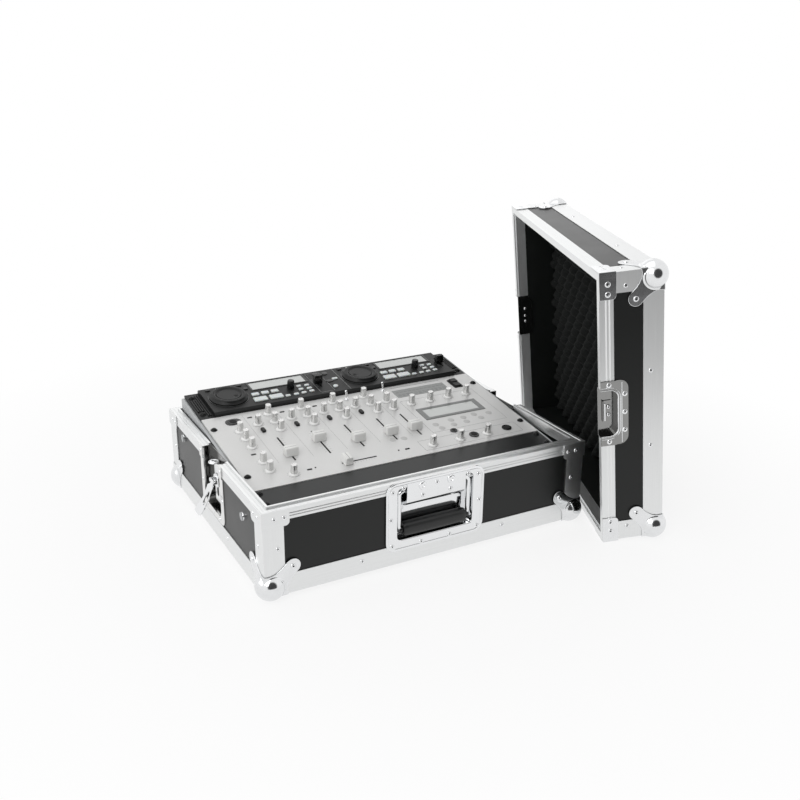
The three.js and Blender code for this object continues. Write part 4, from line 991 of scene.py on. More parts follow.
def mixer_small_parts():
    """Toggles, jack sockets with their nuts, round key pads and the phones jack's plate."""
    toggles = [toggle(shifted(across, up)) for across, up in TOGGLES]
    nuts, holes = [], []
    for across, up, radius in JACKS:
        nut, hole = jack_nut(radius)
        nuts.append(moved(nut, shifted(across, up)))
        holes.append(moved(hole, shifted(across, up)))
    pads = copied(lathe([(5.4, 0), (5.3, 0.28), (4.9, 0.42), (4.2, 0.5), (1, 0.5)], 24),
                  [shifted(across, up) for across, up in KEY_PADS])
    phones = moved(soft_block(26, 19, 0, 0.9, 0.5, 8.5), shifted(*PHONES_PLACE))
    painted = [
        (merged(toggles), "chrome"), (merged([*nuts, phones]), "gloss_black"),
        (merged(holes), "slot"), (pads, "pad"),
    ]
    piece("mixer_small_parts", painted, RACK, "tray")


def screw_head(radius):
    """A cup washer, the pan head on it and the head's cross slot, whose dark raised cross is painted shade of
    the recess.
    """
    washer = lathe([(radius + 1.3, 0), (radius + 1.3, 0.4), (radius + 0.9, 0.9), (radius + 0.3, 1.1),
                    (radius, 0.8)], 28)
    head = lathe([(radius, 0.7), (radius, 1.5), (radius * 0.92, 2.3), (radius * 0.7, 3.0),
                  (radius * 0.4, 3.35), (radius * 0.2, 3.4)], 28)
    long, wide = radius * 0.9, 0.9
    # Painted shade: the cross slot is a dark raised cross, not a recess
    cross = merged([soft_block(long, wide, 2.8, 3.5, 0.15), soft_block(wide, long, 2.8, 3.5, 0.15)])
    return washer, head, cross


def rack_screws(sizes):
    """Four screws on each panel: the blank one at the front, the mixer and the player."""
    washer, head, cross = screw_head(sizes.screw_radius / MM)
    panels = ((-RACK_UNIT, RACK_UNIT - RACK_GAP, -1), (0, MIXER_LENGTH, 0), (PLAYER_START, PLAYER_LENGTH, 0))
    edge = 7.5
    spots = []
    for start, length, height in panels:
        for share in (0.17, 0.83):
            spots += [shifted(across, start + length * share, height) for across in (edge, RACK_WIDTH - edge)]
    painted = [
        (copied(washer, spots), "screw"), (copied(head, spots), "screw"),
        (copied(cross, spots), "slot"),
    ]
    piece("rack_screws", painted, RACK, "tray")


# Twin player

def jog_surface(radius, height):
    """Wheel as rings out to in: a flared skirt, a flat rim, a step down, a low ridge and a dished
    disc. In the disc is a finger dimple, a round well that falls as (1 + cos) / 2 to its middle."""
    steps = [
        (radius - 0.6, 0), (radius, 0.5), (radius, 1.2), (radius - 0.6, 2.0), (radius - 2.2, 3.2),
        (radius - 3.0, height - 1.4), (radius - 3.5, height - 0.4), (radius - 4.4, height),
        (radius - 8.6, height - 0.1), (radius - 9.4, height - 0.5), (radius - 10.6, height - 1.9),
        (radius - 11.2, height - 2.1), (radius - 11.5, height - 1.2), (radius - 12.1, height - 1.0),
        (radius - 12.6, height - 1.5),
    ]
    inner = np.linspace(radius - 13, 0.6, 18)
    steps += [(float(at), height - 1.6) for at in inner]
    ring = circle(1, 72)
    rings = np.array([level(ring * at, up) for at, up in steps])
    well_place, well_radius, well_depth = (9.6, -8.9), 5.0, 1.8
    distance = np.hypot(rings[..., 0] - well_place[0], rings[..., 1] - well_place[1]) / well_radius
    well = np.where(distance < 1, 0.5 + 0.5 * np.cos(math.pi * distance), 0)
    disc = len(steps) - len(inner)
    rings[disc:, :, 2] -= well_depth * well[disc:]
    return skin(rings)


def jog_wheel(at, place, rest_turn):
    """A wheel on its pin, with a ring of 48 grip teeth."""
    wheel = moved(jog_surface(31, 6.5), turned("z", rest_turn))
    tooth = soft_block(1.6, 0.9, 5.6, 6.7, 0.25)
    teeth = copied(tooth, [turned("z", step * math.pi / 24) @ shifted(24.4, 0) for step in range(48)])
    pin = lathe([(4, -4.8), (4, 0.5)], 20)
    painted = [(wheel, "black"), (pin, "rail"), (teeth, "black")]
    piece(f"jog_wheel_{at}", painted, place, f"jog_{at}", [f"player_jog_{at}"])


def encoder_knob(at, place):
    """A finely fluted knob on its pin."""
    profile = [(6.2, 0), (6.3, 0.8), (6.1, 4), (5.8, 9), (5.6, 12), (5.1, 12.8), (4.2, 13), (1, 13)]
    knob = fluted(profile, 72, 24, 0.3, 0.5, 12.4)
    pin = lathe([(2, -4.8), (2, 0.5)], 14)
    painted = [(knob, "gloss_black"), (pin, "rail")]
    piece(f"encoder_knob_{at}", painted, place, f"encoder_{at}", [f"player_encoder_{at}"])


def player_wheels():
    """Each half's jog wheel, encoder knob and pitch cap."""
    over = PLAYER_TOP + 0.8
    for at, (start, rest_turn) in enumerate(zip(MODULE_STARTS, (0, math.radians(-115))), start=1):
        jog_wheel(at, RACK @ shifted(start, PLAYER_UP, over), rest_turn)
        across, up = ENCODER_PLACE
        encoder_knob(at, RACK @ shifted(start + across, up, over))
        slider_cap(f"pitch_cap_{at}", f"player_pitch_{at}", f"pitch_{at}", (14, 9, 14),
                   RACK @ shifted(start + PITCH_ACROSS, PLAYER_UP, PLAYER_TOP), "gloss_black",
                   0.6)


def keys_of(groups, start):
    """Each group's keys at its places, counted across from the wheel's middle."""
    return [
        moved(soft_block(width, length, 0, height, soft, corner), shifted(start + across, up))
        for width, length, height, soft, corner, places in groups
        for across, up in places
    ]


def outer_keys(start):
    """The pale and the dark keys between a pitch slider and the next wheel."""
    pale_button = lathe([(4.2, 0), (4.2, 1.6), (3.6, 2.1), (1, 2.1)], 24)
    dark_button = lathe([(5.4, 0), (5.4, 0.8), (4.8, 1.4), (3, 1.6)], 28)
    across, up = PALE_BUTTON
    pale = [moved(pale_button, shifted(start + across, up)), *keys_of(PALE_OUTER_KEYS, start)]
    dark = [moved(dark_button, shifted(start + across, up)) for across, up in DARK_BUTTONS]
    return pale, [*dark, *keys_of(DARK_OUTER_KEYS, start)]


def player_keys():
    """Keys, display glasses, ring collars and printed lines of both halves, on the player's top.
    The keys past the pitch slider are left out where the body's cheek begins."""
    collar = lathe([(33.2, -0.2), (33.2, 0.5), (32.7, 0.9), (31.9, 0.9), (31.6, 0.2), (20, 0.2)], 64)
    bezel = window_frame(rounded(102, 31, 1.5), rounded(95.6, 25.6, 0.8), 0.5, (-0.2, 0.5, 0.9, -0.4, -0.7))
    window = soft_block(95.4, 25.4, -0.85, -0.25, 0.1, 0.8)
    keys, dark, glass, bezels, lines = [], [], [], [], []
    for start in MODULE_STARTS:
        keys += keys_of(PALE_KEYS, start)
        dark += keys_of(DARK_KEYS, start)
        if start + PLAYER_MODULE < RACK_WIDTH - PLAYER_EAR:
            pale, gloss = outer_keys(start)
            keys += pale
            dark += gloss
            lines.append(framed((start + 148, 231), (start + 172.5, 302), 1.5, 0.6))
        dark.append(moved(collar, shifted(start, PLAYER_UP)))
        display = shifted(start + 93, PLAYER_UP + 24)
        bezels.append(moved(bezel, display))
        glass.append(moved(window, display))
        for step in PLAYER_UP + np.linspace(-14, 14, 9):
            lines.append(ruled((start + 149, step), (start + 152.5, step), 0.4))
    half = MODULE_STARTS[0] + PLAYER_MODULE - 36
    lines.append(ruled((half, 226), (half, 306), 0.8))
    painted = [
        (merged(keys), "key"), (merged(dark), "gloss_black"),
        (merged(bezels), "gloss_black"), (merged(glass), "glass"),
        (merged(lines), "ink"),
    ]
    piece("player_keys", painted, RACK @ shifted(0, 0, PLAYER_TOP), "tray")


def player_ears():
    """Ribbed side cheeks: round bars over the solid's ridges. The outer ones stop between the rack
    screws, and the inner ones run on past them."""
    bars = []
    pitch = PLAYER_EAR / 6
    section = rounded(pitch * 0.62, 3.4, 0.8, 3)
    for near in pitch * np.arange(1, 6):
        reach = PLAYER_LENGTH * (0.42 if near > 13 else 0.23)
        for across in (near, RACK_WIDTH - near):
            path = [(across, PLAYER_UP + away, 0.2) for away in (-reach, 0, reach)]
            bars.append(carried(path, section, (1, 0, 0)))
    piece("player_ear_ribs", [(merged(bars), "black")], RACK, "tray")


# Handle

def dish_rings(outer, inner, depth):
    """Rings of a pressed dish of thin sheet: from the middle of its floor up the pocket's wall,
    over a quarter-round lip, across the flange, round its soft outer edge and back behind it."""
    sheet, middle = 1.2, 6
    rings = [level(inset(inner, middle), -depth), level(inset(inner, 2.2), -depth)]
    rings += [level(inset(inner, 0.7), 0.7 - depth), level(inner, 2.4 - depth)]
    for turn in np.linspace(0, math.pi / 2, 5):
        back, rise = LIP_ROUND * (math.cos(turn) - 1), LIP_ROUND * (math.sin(turn) - 1)
        rings.append(level(inset(inner, back), PLATE_PROUD + rise))
    rings += [level(inset(outer, 0.5), PLATE_PROUD), level(inset(outer, 0.15), PLATE_PROUD - 0.15)]
    rings += [level(outer, PLATE_PROUD - 0.5), level(outer, SEAT)]
    behind = inset(inner, -sheet)
    rings += [level(behind, SEAT), level(behind, -depth - sheet)]
    return [*rings, level(inset(inner, middle), -depth - sheet)]


def handle_dish(sizes):
    """Chrome dish: a wide flange with rivets all round, a deep pocket and a spring cover whose
    lower lip bends inwards and hangs behind the bail's pin, with two round bosses."""
    front = SIDES["front"] @ shifted(MIDDLE_X, 0)
    outer = moved_outline(rounded(161, 107, 16, 8), (0, 74.5))
    inner = moved_outline(rounded(124, 80, 6, 8), (0, 78))
    shell = skin(dish_rings(outer, inner, 17))
    cover_side = [
        (-10.2, 79.5), (-10.2, 86.6), (-9.8, 87.4), (-9.0, 87.8), (-6.4, 87.9), (-5.4, 88.3), (-4.6, 89.4),
        (-2.6, 91.2), (-0.6, 93.2), (0.7, 95.8), (1.4, 99), (2.1, 103), (2.1, 124.2),
    ]
    cover = carried([(0, up, out) for out, up in cover_side], rounded(96, 1.2, 0.5, 2), (1, 0, 0))
    boss = lathe([(6.4, 2.2), (6.4, 3.0), (5.7, 4.0), (3.8, 4.6), (2.6, 4.6), (2.0, 3.7)], 28)
    bosses = copied(boss, [shifted(across, 117.2) for across in (-23.2, 23.2)])
    rim = carried(level(inset(outer, 4.2), PLATE_PROUD), circle(0.55, 8), loop=True)
    painted = [(part, "chrome") for part in (shell, cover, rim, bosses)]
    piece("handle_dish_pressed", painted, TRAY @ front, "tray", ["handle_dish"])
    flange = [(73, 72.8), (70.5, 30.8), (23.5, 28), (70, 114.8), (53, 118.5)]
    spots = [(side * across, up, PLATE_PROUD) for across, up in flange for side in (-1, 1)]
    spots = [("front", MIDDLE_X + across, up, out) for across, up, out in [*spots, (0, 117.4, 2.7)]]
    rivets("handle_dish_rivets", TRAY, "tray", spots, sizes)
    small = [("front", MIDDLE_X + across, 102.5, 2.6) for across in (-22.6, 22.6)]
    rivets("handle_cover_rivets", TRAY, "tray", small, sizes)


def handle_bail():
    """A chromed rod bent into a loop and pinned at its top, with a collar at each end of the grip."""
    front = SIDES["front"] @ shifted(MIDDLE_X, 0)
    half, pin_half, collar_at = 57, 63.2, 54.3
    ring = moved_outline(rounded(2 * half, BAIL_PIN_UP - GRIP_UP, 7, 8), (0, (GRIP_UP + BAIL_PIN_UP) / 2))
    loop = carried(level(ring, BAIL_OUT), circle(3.5, 20), loop=True)
    pin = rod((-pin_half, BAIL_PIN_UP, BAIL_OUT), (pin_half, BAIL_PIN_UP, BAIL_OUT), 2.2)
    collar = moved(lathe([(4.6, -3.2), (5, -2.6), (5, 2.6), (4.6, 3.2)], 24), turned("y", math.pi / 2))
    collars = copied(collar, [shifted(across, GRIP_UP, BAIL_OUT) for across in (-collar_at, collar_at)])
    painted = [(loop, "chrome"), (pin, "chrome"), (collars, "gloss_black")]
    piece("handle_bail_rod", painted, TRAY @ front, "handle", ["handle_bail"])


def handle_grip():
    """The rubber sleeve: its section carried along it, 5 percent fuller in the middle, with ends
    that round off as a quarter circle."""
    half, end_round, end_share = 51.5, 1.6, 0.86
    along = np.linspace(-half, half, 25)
    swell = 1 + 0.05 * np.cos(math.pi * along / (2 * half))
    ends = np.clip((half - np.abs(along)) / end_round, 0, 1)
    scale = swell * (end_share + (1 - end_share) * np.sqrt(1 - (1 - ends) ** 2))
    outline = grip_outline()
    sleeve = skin([level(outline * size, at) for size, at in zip(scale, along)])
    lying = placed(((0, 1, 0), (0, 0, 1), (1, 0, 0)), (0, GRIP_UP, BAIL_OUT))
    place = TRAY @ SIDES["front"] @ shifted(MIDDLE_X, 0) @ lying
    piece("handle_grip_rubber", [(sleeve, "rubber")], place, "handle", ["handle_grip"])


def grip_outline():
    """Section of the grip: the superellipse |x / a|^2.6 + |y / b|^2.6 = 1, 21 tall and 17 deep."""
    angle = np.arange(48)[:, None] * 2 * math.pi / 48
    wave = np.hstack([np.cos(angle), np.sin(angle)])
    return np.sign(wave) * np.abs(wave) ** (2 / 2.6) * (10.4, 8.5)


# Latches, strikes and foam

def latch_piece(kind, ending, painted, place, side):
    """One moving piece of a latch, which stands for the node of its kind and side."""
    node = f"latch_{kind}_{side}"
    piece(f"{node}_{ending}", painted, place, node, [node])


def latch_hook(place, side):
    """A slotted sliding plate whose top turns outwards through a quarter circle into a round
    horizontal lip with a rolled edge."""
    back, front, neck_top = -10.1, -8.5, 116.6
    middle = (back + front) / 2
    outer = moved_outline(rounded(24, 63, 1.5, 6), (0, 81.5))
    inner = moved_outline(rounded(9, 31, 4.4, 6), (0, 75))
    plate = skin([level(outer, back), level(outer, front - 0.3), level(inset(outer, 0.3), front),
                  level(inner, front), level(inner, back)], loop=True)
    bend = 4.6
    low = neck_top - bend
    angle = np.linspace(0, math.pi / 2, 8)
    curve = [(0, low + bend * math.sin(at), middle + bend * (1 - math.cos(at))) for at in angle]
    neck = carried([(0, low - 5, middle), *curve, (0, neck_top, -2.5)], rounded(14, 1.5, 0.5, 2), (1, 0, 0))
    rolled = [(0.5, -0.8), (0.1, -0.55), (0, 0), (0.15, 0.5), (0.6, 0.9), (1.2, 0.9), (1.9, 0.35)]
    flat = placed(((1, 0, 0), (0, 0, -1), (0, 1, 0)), (0, neck_top, -4.6))
    lip = moved(pad(rounded(16, 16, 7.9, 8), rolled), flat)
    painted = [(merged([plate, neck]), "zinc"), (lip, "chrome")]
    latch_piece("hook", "rolled", painted, place, side)


def latch_spindle(place, side):
    """The turning boss: foot, stem, domed head, and two ears with the wing's pin through them."""
    boss = [
        lathe([(9.3, -13), (9.3, -10.6), (8.9, -10.4)], 32),
        lathe([(4, -12.8), (4, -7)], 24),
        lathe([(10.6, -8.2), (11, -7.8), (11, -6.4), (10.3, -5.7), (8.6, -5.5)], 36),
    ]
    ears = [moved(soft_block(2, 6.4, -6.0, 1.7, 0.6, 0.9), shifted(along, 0)) for along in (-7, 7)]
    pin = moved(lathe([(1.5, -9), (1.5, 9)], 16), shifted(0, 0, WING_PIN_OUT) @ turned("y", math.pi / 2))
    cap = lathe([(2.3, -0.4), (2.3, 0.3), (1.6, 0.9)], 16)
    ends = [shifted(way * 8.2, 0, WING_PIN_OUT) @ turned("y", way * math.pi / 2) for way in (1, -1)]
    painted = [(merged(boss), "zinc"), (merged(ears), "chrome"),
               (merged([pin, copied(cap, ends)]), "rivet")]
    latch_piece("spindle", "turned", painted, place @ shifted(0, SPINDLE_UP), side)


def both_halves(half, along):
    """An outline from its half widths and places along: down one side and back up the other."""
    return np.vstack([np.column_stack([half, along]), np.column_stack([-half, along])[::-1]])


def latch_wing(place, side):
    """A stamped wing with a window, skinned from its outer outline to its inner one. Its half width
    widens smoothly twice from the root, its height follows its length, up to a curled tip, and its
    edges rise by the square of the distance across."""
    share = np.linspace(0.03, 1, 40)
    end = np.sqrt(1 - np.clip((share - 0.93) / 0.071, 0, 1) ** 2)
    half = 4.6 + 5.6 * smooth((share - 0.08) / 0.12) + 2.2 * smooth((share - 0.55) / 0.25)
    outer = both_halves(half * (0.62 + 0.38 * end), share)
    turn = np.linspace(0, math.pi, 40)
    inner = both_halves(5.2 * np.sin(turn) ** 0.5 + 0.05, 0.52 - 0.2 * np.cos(turn))
    full = (1, WING_LENGTH)
    swollen = inset(outer * full, -0.3) / full
    rings = []
    for outline, height in ((outer, -0.8), (outer, 0.5), (swollen, 0.8), (inner, 0.8), (inner, -0.8)):
        across, run = outline[:, 0], outline[:, 1]
        rise = 1.4 * np.clip((run - 0.8) / 0.2, 0, 1) ** 2 - 2.2 * np.sin(math.pi * run)
        rise = rise + 1.6 * (across / 11) ** 2
        rings.append(np.column_stack([across, -run * WING_LENGTH, height + rise]))
    blade = skin(rings, loop=True)
    knuckle = lathe([(2.9, -5.5), (3.2, -5.2), (3.2, 5.2), (2.9, 5.5)], 24)
    painted = [(merged([blade, moved(knuckle, turned("y", math.pi / 2))]), "chrome")]
    hang = shifted(0, SPINDLE_UP, WING_PIN_OUT) @ turned("x", math.radians(-27))
    latch_piece("wing", "stamped", painted, place @ hang, side)


def pocket_line(half, low, bend, out, band_out):
    """A line round a strike's open pocket, from the rim down one side, along its foot and up again.
    It stands further out where it crosses the rim's band."""
    high, bend_start, foot_end, band_low = LID_HEIGHT - 0.4, 86, 12, 72.5
    angle = np.linspace(0, math.pi / 2, 7)
    corner = np.column_stack([half - bend + bend * np.cos(angle), low + bend - bend * np.sin(angle)])
    right = np.vstack([[(half, high), (half, bend_start)], corner, [(foot_end, low)]])
    path = np.vstack([right, right[::-1] * (-1, 1)])
    return np.column_stack([path, np.where(path[:, 1] > band_low, band_out, out)])


def strike_details(place, side):
    """Bright beads round the open pocket of a strike and along its foot, the rolled lip of its catch,
    the catch's two rivets, and the rivets' tails inside the shell."""
    beads = merged([
        carried(pocket_line(36.5, 67, 12, 0.6, 0.6), circle(1.2, 10)),
        carried(pocket_line(39.8, 63.7, 15.3, 0.2, 1.5), circle(0.7, 10)),
        rod((-47, 61.6, 0.1), (47, 61.6, 0.1), 0.7, 10),
    ])
    lip = rod((-13.5, 84.5, -7.4), (13.5, 84.5, -7.4), 1.3, 12)
    catch = [shifted(along, 78, -10.9) for along in (-6, 6)]
    inside = [shifted(along, 80, -15.6) @ turned("y", math.pi) for along in (-14, 0, 11)]
    heads = merged([copied(rivet_head(3.3, 1.3), catch), copied(rivet_head(2.6, 1.0), inside)])
    painted = [(merged([beads, lip]), "chrome"), (heads, "rivet"),
               (copied(rivet_core(3.3, 1.3), catch), "rivet_core")]
    piece(f"lid_strike_{side}_trim", painted, place, "lid")


def latch_rivet_spots(band, low, side_names, further=()):
    """Rivets of a dish's flange: two on the rim's band, three along its foot, and further ones."""
    wide, narrow = 44, 28
    found = []
    for side in side_names:
        found += [(side, MIDDLE_Y + along, band, PLATE_PROUD) for along in (-wide, wide)]
        found += [(side, MIDDLE_Y + way * wide, up, 0) for up in further for way in (-1, 1)]
        found += [(side, MIDDLE_Y + along, low, 0) for along in (-narrow, 0, narrow)]
    return found


def lid_foam():
    """Egg-crate foam on a flat back: backing plus swell times the product of two cosines, each
    half a wave per pitch, with its crests rounded by a power below one. Each ring is one section."""
    edge, back, backing, swell = 15.5, 10.8, 10, 8
    across = np.linspace(edge, CASE_WIDTH - edge, 180)
    along = np.linspace(edge, CASE_DEPTH - edge, 140)
    first = math.pi * (across - MIDDLE_X) / FOAM_PITCH
    second = math.pi * (along - MIDDLE_Y) / FOAM_PITCH
    wave = np.cos(second)[:, None] * np.cos(first)[None, :]
    crest = np.sign(wave) * np.abs(wave) ** 0.8
    height = back + backing + swell * crest
    front = np.stack(np.broadcast_arrays(across[None, :], along[:, None], height), axis=-1)
    behind = front[:, ::-1].copy()
    behind[..., 2] = back
    surface = skin(np.concatenate([front, behind], axis=1))
    foam = piece("lid_foam_convoluted", [(surface, "foam")], LID, "lid", ["lid_foam"])


def rail_bolts():
    """Domed heads of the bolts that hold the rails, over the solid ones on both sides."""
    head = lathe([(6.2, -1.6), (6.3, 0.7), (5.9, 1.4), (4.6, 1.9), (2.4, 2.15), (0.6, 2.2)], 28)
    spots = []
    for along, up in RAIL_BOLTS:
        spots.append(SIDES["left"] @ shifted(CASE_DEPTH - along, up))
        spots.append(SIDES["right"] @ shifted(along, up))
    piece("rail_bolt_heads", [(copied(head, spots), "rivet")], TRAY, "tray")


# Operators: one for each group of pieces

def size_choice(name, description, default, low, high):
    """A length that the panel offers: its default and limits are given in millimetres."""
    return bpy.props.FloatProperty(
        name=name, description=description, default=default * MM, min=low * MM, max=high * MM,
        subtype="DISTANCE", unit="LENGTH")


def colour_choice(name, description, hex_colour):
    """A colour that the panel offers, kept linear."""
    return bpy.props.FloatVectorProperty(
        name=name, description=description, default=linear(hex_colour), min=0, max=1, size=3,
        subtype="COLOR")


class CaseSizes(bpy.types.PropertyGroup):
    """Sizes of the small hardware."""

    rivet_radius: size_choice("Rivet radius", "Radius of a rivet head on the edging", 3.4, 1, 8)
    rivet_height: size_choice("Rivet height", "Height of a rivet head", 1.2, 0.3, 4)
    rivet_pitch: size_choice("Rivet pitch", "Distance between rivets along an edge", 117, 40, 300)
    knob_height: size_choice("Knob height", "Height of a mixer knob over the face", 16.9, 16.6, 24)
    screw_radius: size_choice("Rack screw radius", "Radius of a rack screw's head", 4, 2, 7)


class CaseColours(bpy.types.PropertyGroup):
    """Colours of the case and its gear."""

    laminate: colour_choice("Laminate", "Colour of the case's laminated panels", "#101211")
    aluminium: colour_choice("Aluminium", "Colour of the edging's aluminium", "#EEEFEF")
    plating: colour_choice("Plating", "Colour of the chrome and zinc plated hardware", "#ECEDEE")
    foam: colour_choice("Foam", "Colour of the lid's foam", "#1E201F")
    mixer: colour_choice("Mixer face", "Colour of the mixer's silver face", "#DADAD9")
    knobs: colour_choice("Knobs", "Colour of the mixer's knobs", "#E4E4E3")


class CaseHardware(bpy.types.Operator):
    """Ball corners, braces and rivets of both shells, and the rails' bolts"""

    bl_idname = "flight_case.hardware"
    bl_label = "Add Case Hardware"

    def execute(self, context):
        sizes = context.scene.flight_case_sizes
        for corner in CORNERS:
            ball_corner("tray", corner, TRAY, "tray")
            ball_corner("lid", corner, LID, "lid")
        lower = edge_spots(sizes.rivet_pitch / MM)
        upright, near, far = 20.5, 16, 30.4
        band = TRAY_HEIGHT - 12
        lid_band = LID_HEIGHT - 12
        tray_ends = both_ends([(upright, 71, 0), (near, band, PLATE_PROUD), (far, band, PLATE_PROUD)])
        lid_ends = both_ends([(upright, 55, 0)])
        brace_spots = both_ends([(near, lid_band, 1.2), (far, lid_band, 1.2)])
        rivets("tray_rivets", TRAY, "tray", lower + tray_ends, sizes)
        rivets("lid_rivets", LID, "lid", lower + lid_ends, sizes)
        rivets("lid_brace_rivets", LID, "lid", brace_spots, sizes, grow=1.3)
        lid_braces()
        rail_bolts()
        return {"FINISHED"}


class Handle(bpy.types.Operator):
    """Handle dish, bail and grip"""

    bl_idname = "flight_case.handle"
    bl_label = "Add Handle"

    def execute(self, context):
        handle_dish(context.scene.flight_case_sizes)
        handle_bail()
        handle_grip()
        return {"FINISHED"}


class Latches(bpy.types.Operator):
    """Butterfly latches on both sides, and the rivets of their dishes and strikes"""

    bl_idname = "flight_case.latches"
    bl_label = "Add Latches"

    def execute(self, context):
        sizes = context.scene.flight_case_sizes
        sides = ("left", "right")
        for side in sides:
            middle = SIDES[side] @ shifted(MIDDLE_Y, 0)
            latch_hook(TRAY @ middle, side)
            latch_spindle(TRAY @ middle, side)
            latch_wing(TRAY @ middle, side)
            strike_details(LID @ middle, side)
        dish_spots = latch_rivet_spots(TRAY_HEIGHT - 8, 36, sides, (72,))
        rivets("latch_dish_rivets", TRAY, "tray", dish_spots, sizes)
        strike_spots = latch_rivet_spots(LID_HEIGHT - 12, 57.2, sides)
        rivets("strike_rivets", LID, "lid", strike_spots, sizes, 1.2)
        return {"FINISHED"}


class LidFoam(bpy.types.Operator):
    """Convoluted foam in the lid"""

    bl_idname = "flight_case.foam"
    bl_label = "Add Lid Foam"

    def execute(self, context):
        lid_foam()
        return {"FINISHED"}


class Mixer(bpy.types.Operator):
    """Knobs, caps, inlays and print of the mixer"""

    bl_idname = "flight_case.mixer"
    bl_label = "Add Mixer Controls"

    def execute(self, context):
        mixer_knobs(context.scene.flight_case_sizes)
        mixer_caps()
        mixer_print()
        mixer_inlays()
        mixer_small_parts()
        rack_screws(context.scene.flight_case_sizes)
        return {"FINISHED"}


class Player(bpy.types.Operator):
    """Wheels, keys and displays of the twin player"""

    bl_idname = "flight_case.player"
    bl_label = "Add Player Controls"

    def execute(self, context):
        player_wheels()
        player_keys()
        player_ears()
        return {"FINISHED"}


OPERATORS = [CaseHardware, Handle, Latches, LidFoam, Mixer, Player]
GROUPS = [CaseSizes, CaseColours]


# Stage

def camera_place():
    """The photograph's camera: 28.62 degrees right of straight ahead, 21.02 degrees down, with a
    slight roll."""
    side, drop, roll = math.radians(28.62), math.radians(21.021), math.radians(0.614)
    ahead = np.array([math.sin(side) * math.cos(drop), math.cos(side) * math.cos(drop), -math.sin(drop)])
    right = np.array([math.cos(side), -math.sin(side), 0.0])
    up = np.cross(right, ahead)
    rolled_right = math.cos(roll) * right + math.sin(roll) * up
    rolled_up = -math.sin(roll) * right + math.cos(roll) * up
    return placed((rolled_right, rolled_up, -ahead), (-0.65006, -1.28983, 0.73395))


def seen_rays(tree):
    """1 for rays from the camera and from mirrors and glass, 0 for the rest."""
    path = add(tree, "ShaderNodeLightPath").outputs
    straight = joined(tree, "MAXIMUM", path["Is Camera Ray"], path["Is Glossy Ray"])
    return joined(tree, "MAXIMUM", straight, path["Is Transmission Ray"])


def paper_floor():
    """White paper. What the camera and mirrors see of it is lifted to white, fully so from 0.95 m
    out, and by most of the way under the object, where its shadow stays."""
    material, tree = fresh("white_paper_floor")
    paper = add(tree, "ShaderNodeBsdfDiffuse", {"Color": shade(linear("#F2F2F2"))})
    glow = add(tree, "ShaderNodeEmission", {"Color": (1, 1, 1, 1), "Strength": 1.0})
    distance = add(tree, "ShaderNodeVectorMath", {"operation": "LENGTH"}, {0: object_place(tree)})
    lift = ranged(tree, distance.outputs["Value"], 0.82, 1.0, 0.45, 0.95)
    share = joined(tree, "MULTIPLY", seen_rays(tree), lift)
    mixed = add(tree, "ShaderNodeMixShader", {}, {0: share, 1: paper.outputs[0], 2: glow.outputs[0]})
    add(tree, "ShaderNodeOutputMaterial", links={"Surface": mixed.outputs[0]})
    return material


def add_floor():
    """A white sheet that runs far back and ends a metre in front, beyond the picture."""
    left, right, near, far = -12, 12, -1.15, 14
    mesh = bpy.data.meshes.new("floor")
    corners = [(left, near, 0), (right, near, 0), (right, far, 0), (left, far, 0)]
    mesh.from_pydata(corners, [], [(0, 1, 2, 3)])
    mesh.materials.append(paper_floor())
    floor = bpy.data.objects.new("floor", mesh)
    bpy.context.scene.collection.objects.link(floor)


def aimed(place, aim):
    """Axes of a lamp at a place whose minus z points at its aim."""
    back = np.array(place, float) - np.array(aim, float)
    back = back / np.linalg.norm(back)
    side = np.cross((0, 0, 1), back)
    side = side / np.linalg.norm(side)
    return side, np.cross(back, side), back


# Square soft lamps: name, place, aim, width in metres and watts
LAMPS = (
    ("key_softbox", (-2.0, -1.7, 2.0), (0.0, 0.0, 0.1), 1.6, 26),
    ("overhead_softbox", (-0.4, 0.3, 2.6), (0.1, 0.0, 0.1), 2.4, 6),
    ("left_softbox", (-2.4, 0.3, 1.4), (0.0, 0.0, 0.1), 1.8, 6),
    ("back_softbox", (1.0, 2.3, 1.25), (0.0, 0.0, 0.1), 2.0, 2.5),
)


def add_lamps():
    """Each soft lamp at its place, turned to its aim."""
    for name, place, aim, size, power in LAMPS:
        lamp = bpy.data.lights.new(name, "AREA")
        lamp.shape = "SQUARE"
        lamp.size = size
        lamp.energy = power
        made = bpy.data.objects.new(name, lamp)
        made.matrix_world = Matrix(placed(aimed(place, aim), place).tolist())
        bpy.context.scene.collection.objects.link(made)


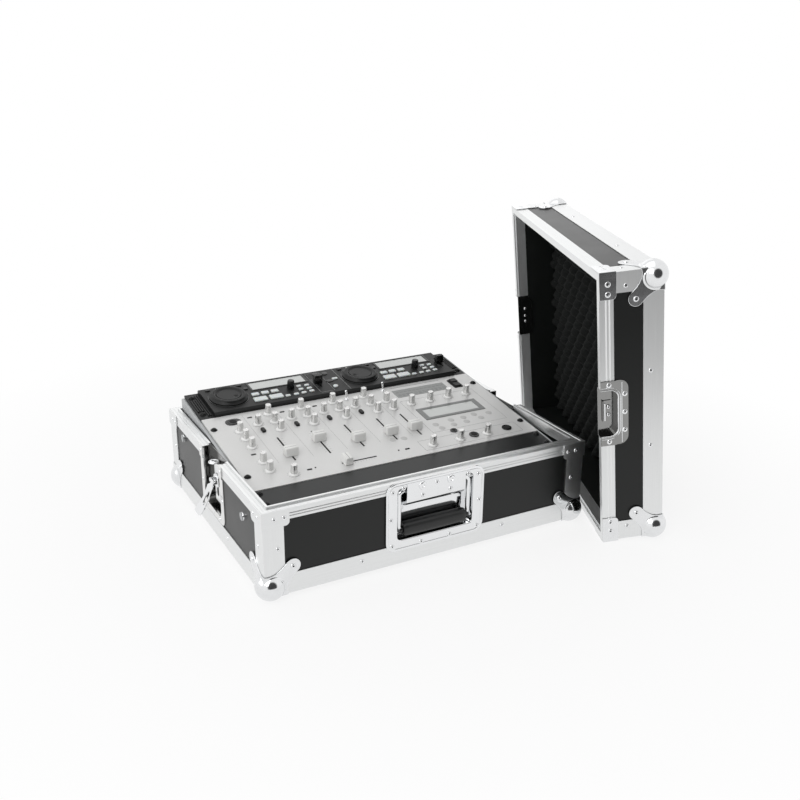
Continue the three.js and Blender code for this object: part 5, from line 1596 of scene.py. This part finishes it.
def add_surroundings(scene):
    """White all round for the camera, and 0.7 of that for diffuse light. Mirrors and diffuse light
    alike find one dim round patch in front of the case, as in a studio whose camera side is unlit,
    and mirrored by bright metal it draws its edges."""
    scene.world = bpy.data.worlds.new("white_studio")
    scene.world.use_nodes = True
    tree = scene.world.node_tree
    tree.nodes.clear()
    path = add(tree, "ShaderNodeLightPath").outputs
    direction = add(tree, "ShaderNodeTexCoord").outputs["Generated"]
    patch_middle = (-0.05, -0.965, 0.257)
    facing = add(
        tree,
        "ShaderNodeVectorMath",
        {"operation": "DOT_PRODUCT", 1: patch_middle},
        {0: direction},
    )
    mirrored = ranged(tree, eased(tree, facing.outputs["Value"], 0.78, 0.88), 1.0, 0.06)
    lit = add(tree, "ShaderNodeMath", {"operation": "MULTIPLY", 1: 0.7}, {0: mirrored})
    glossy = joined(tree, "MAXIMUM", path["Is Glossy Ray"], path["Is Transmission Ray"])
    strength = add(
        tree,
        "ShaderNodeMix",
        {},
        {MIX_SHARE: glossy, NUMBER_A: lit.outputs[0], NUMBER_B: mirrored},
    )
    plain = add(
        tree,
        "ShaderNodeMix",
        {NUMBER_B: 1.0},
        {MIX_SHARE: path["Is Camera Ray"], NUMBER_A: strength.outputs[0]},
    )
    glow = add(tree, "ShaderNodeBackground", {"Color": (1, 1, 1, 1)}, {"Strength": plain.outputs[0]})
    add(tree, "ShaderNodeOutputWorld", links={"Surface": glow.outputs[0]})


class Stage(bpy.types.Operator):
    """Pale floor, soft lamps, white surroundings and the photograph's camera"""

    bl_idname = "flight_case.stage"
    bl_label = "Add Stage"

    def execute(self, context):
        add_floor()
        add_lamps()
        add_surroundings(context.scene)
        camera = bpy.data.objects.new("camera", bpy.data.cameras.new("camera"))
        camera.data.lens = 44.35
        camera.data.sensor_width = 36
        camera.matrix_world = Matrix(camera_place().tolist())
        context.scene.collection.objects.link(camera)
        context.scene.camera = camera
        context.scene.view_settings.view_transform = "Standard"
        return {"FINISHED"}


class CaseFinishes(bpy.types.Operator):
    """Every finish, given to the frame's own nodes"""

    bl_idname = "flight_case.finishes"
    bl_label = "Add Finishes"

    def execute(self, context):
        make_finishes(context.scene.flight_case_colours)
        dress_nodes()
        return {"FINISHED"}


class CasePanel(bpy.types.Panel):
    """The case's sizes and its steps"""

    bl_idname = "VIEW3D_PT_flight_case"
    bl_label = "Flight Case"
    bl_space_type = "VIEW_3D"
    bl_region_type = "UI"
    bl_category = "Flight Case"

    def draw(self, context):
        for key in CaseSizes.__annotations__:
            self.layout.prop(context.scene.flight_case_sizes, key)
        for key in CaseColours.__annotations__:
            self.layout.prop(context.scene.flight_case_colours, key)
        for step in STEPS:
            self.layout.operator(step.bl_idname)


STEPS = [Stage, CaseFinishes, *OPERATORS]


def register():
    for kind in (*GROUPS, *STEPS, CasePanel):
        bpy.utils.register_class(kind)
    bpy.types.Scene.flight_case_sizes = bpy.props.PointerProperty(type=CaseSizes)
    bpy.types.Scene.flight_case_colours = bpy.props.PointerProperty(type=CaseColours)


def unregister():
    del bpy.types.Scene.flight_case_sizes
    del bpy.types.Scene.flight_case_colours
    for kind in (CasePanel, *reversed(STEPS), *GROUPS):
        bpy.utils.unregister_class(kind)


def main():
    register()
    for step in STEPS:
        family, action = step.bl_idname.split(".")
        getattr(getattr(bpy.ops, family), action)()


if __name__ == "__main__":
    main()
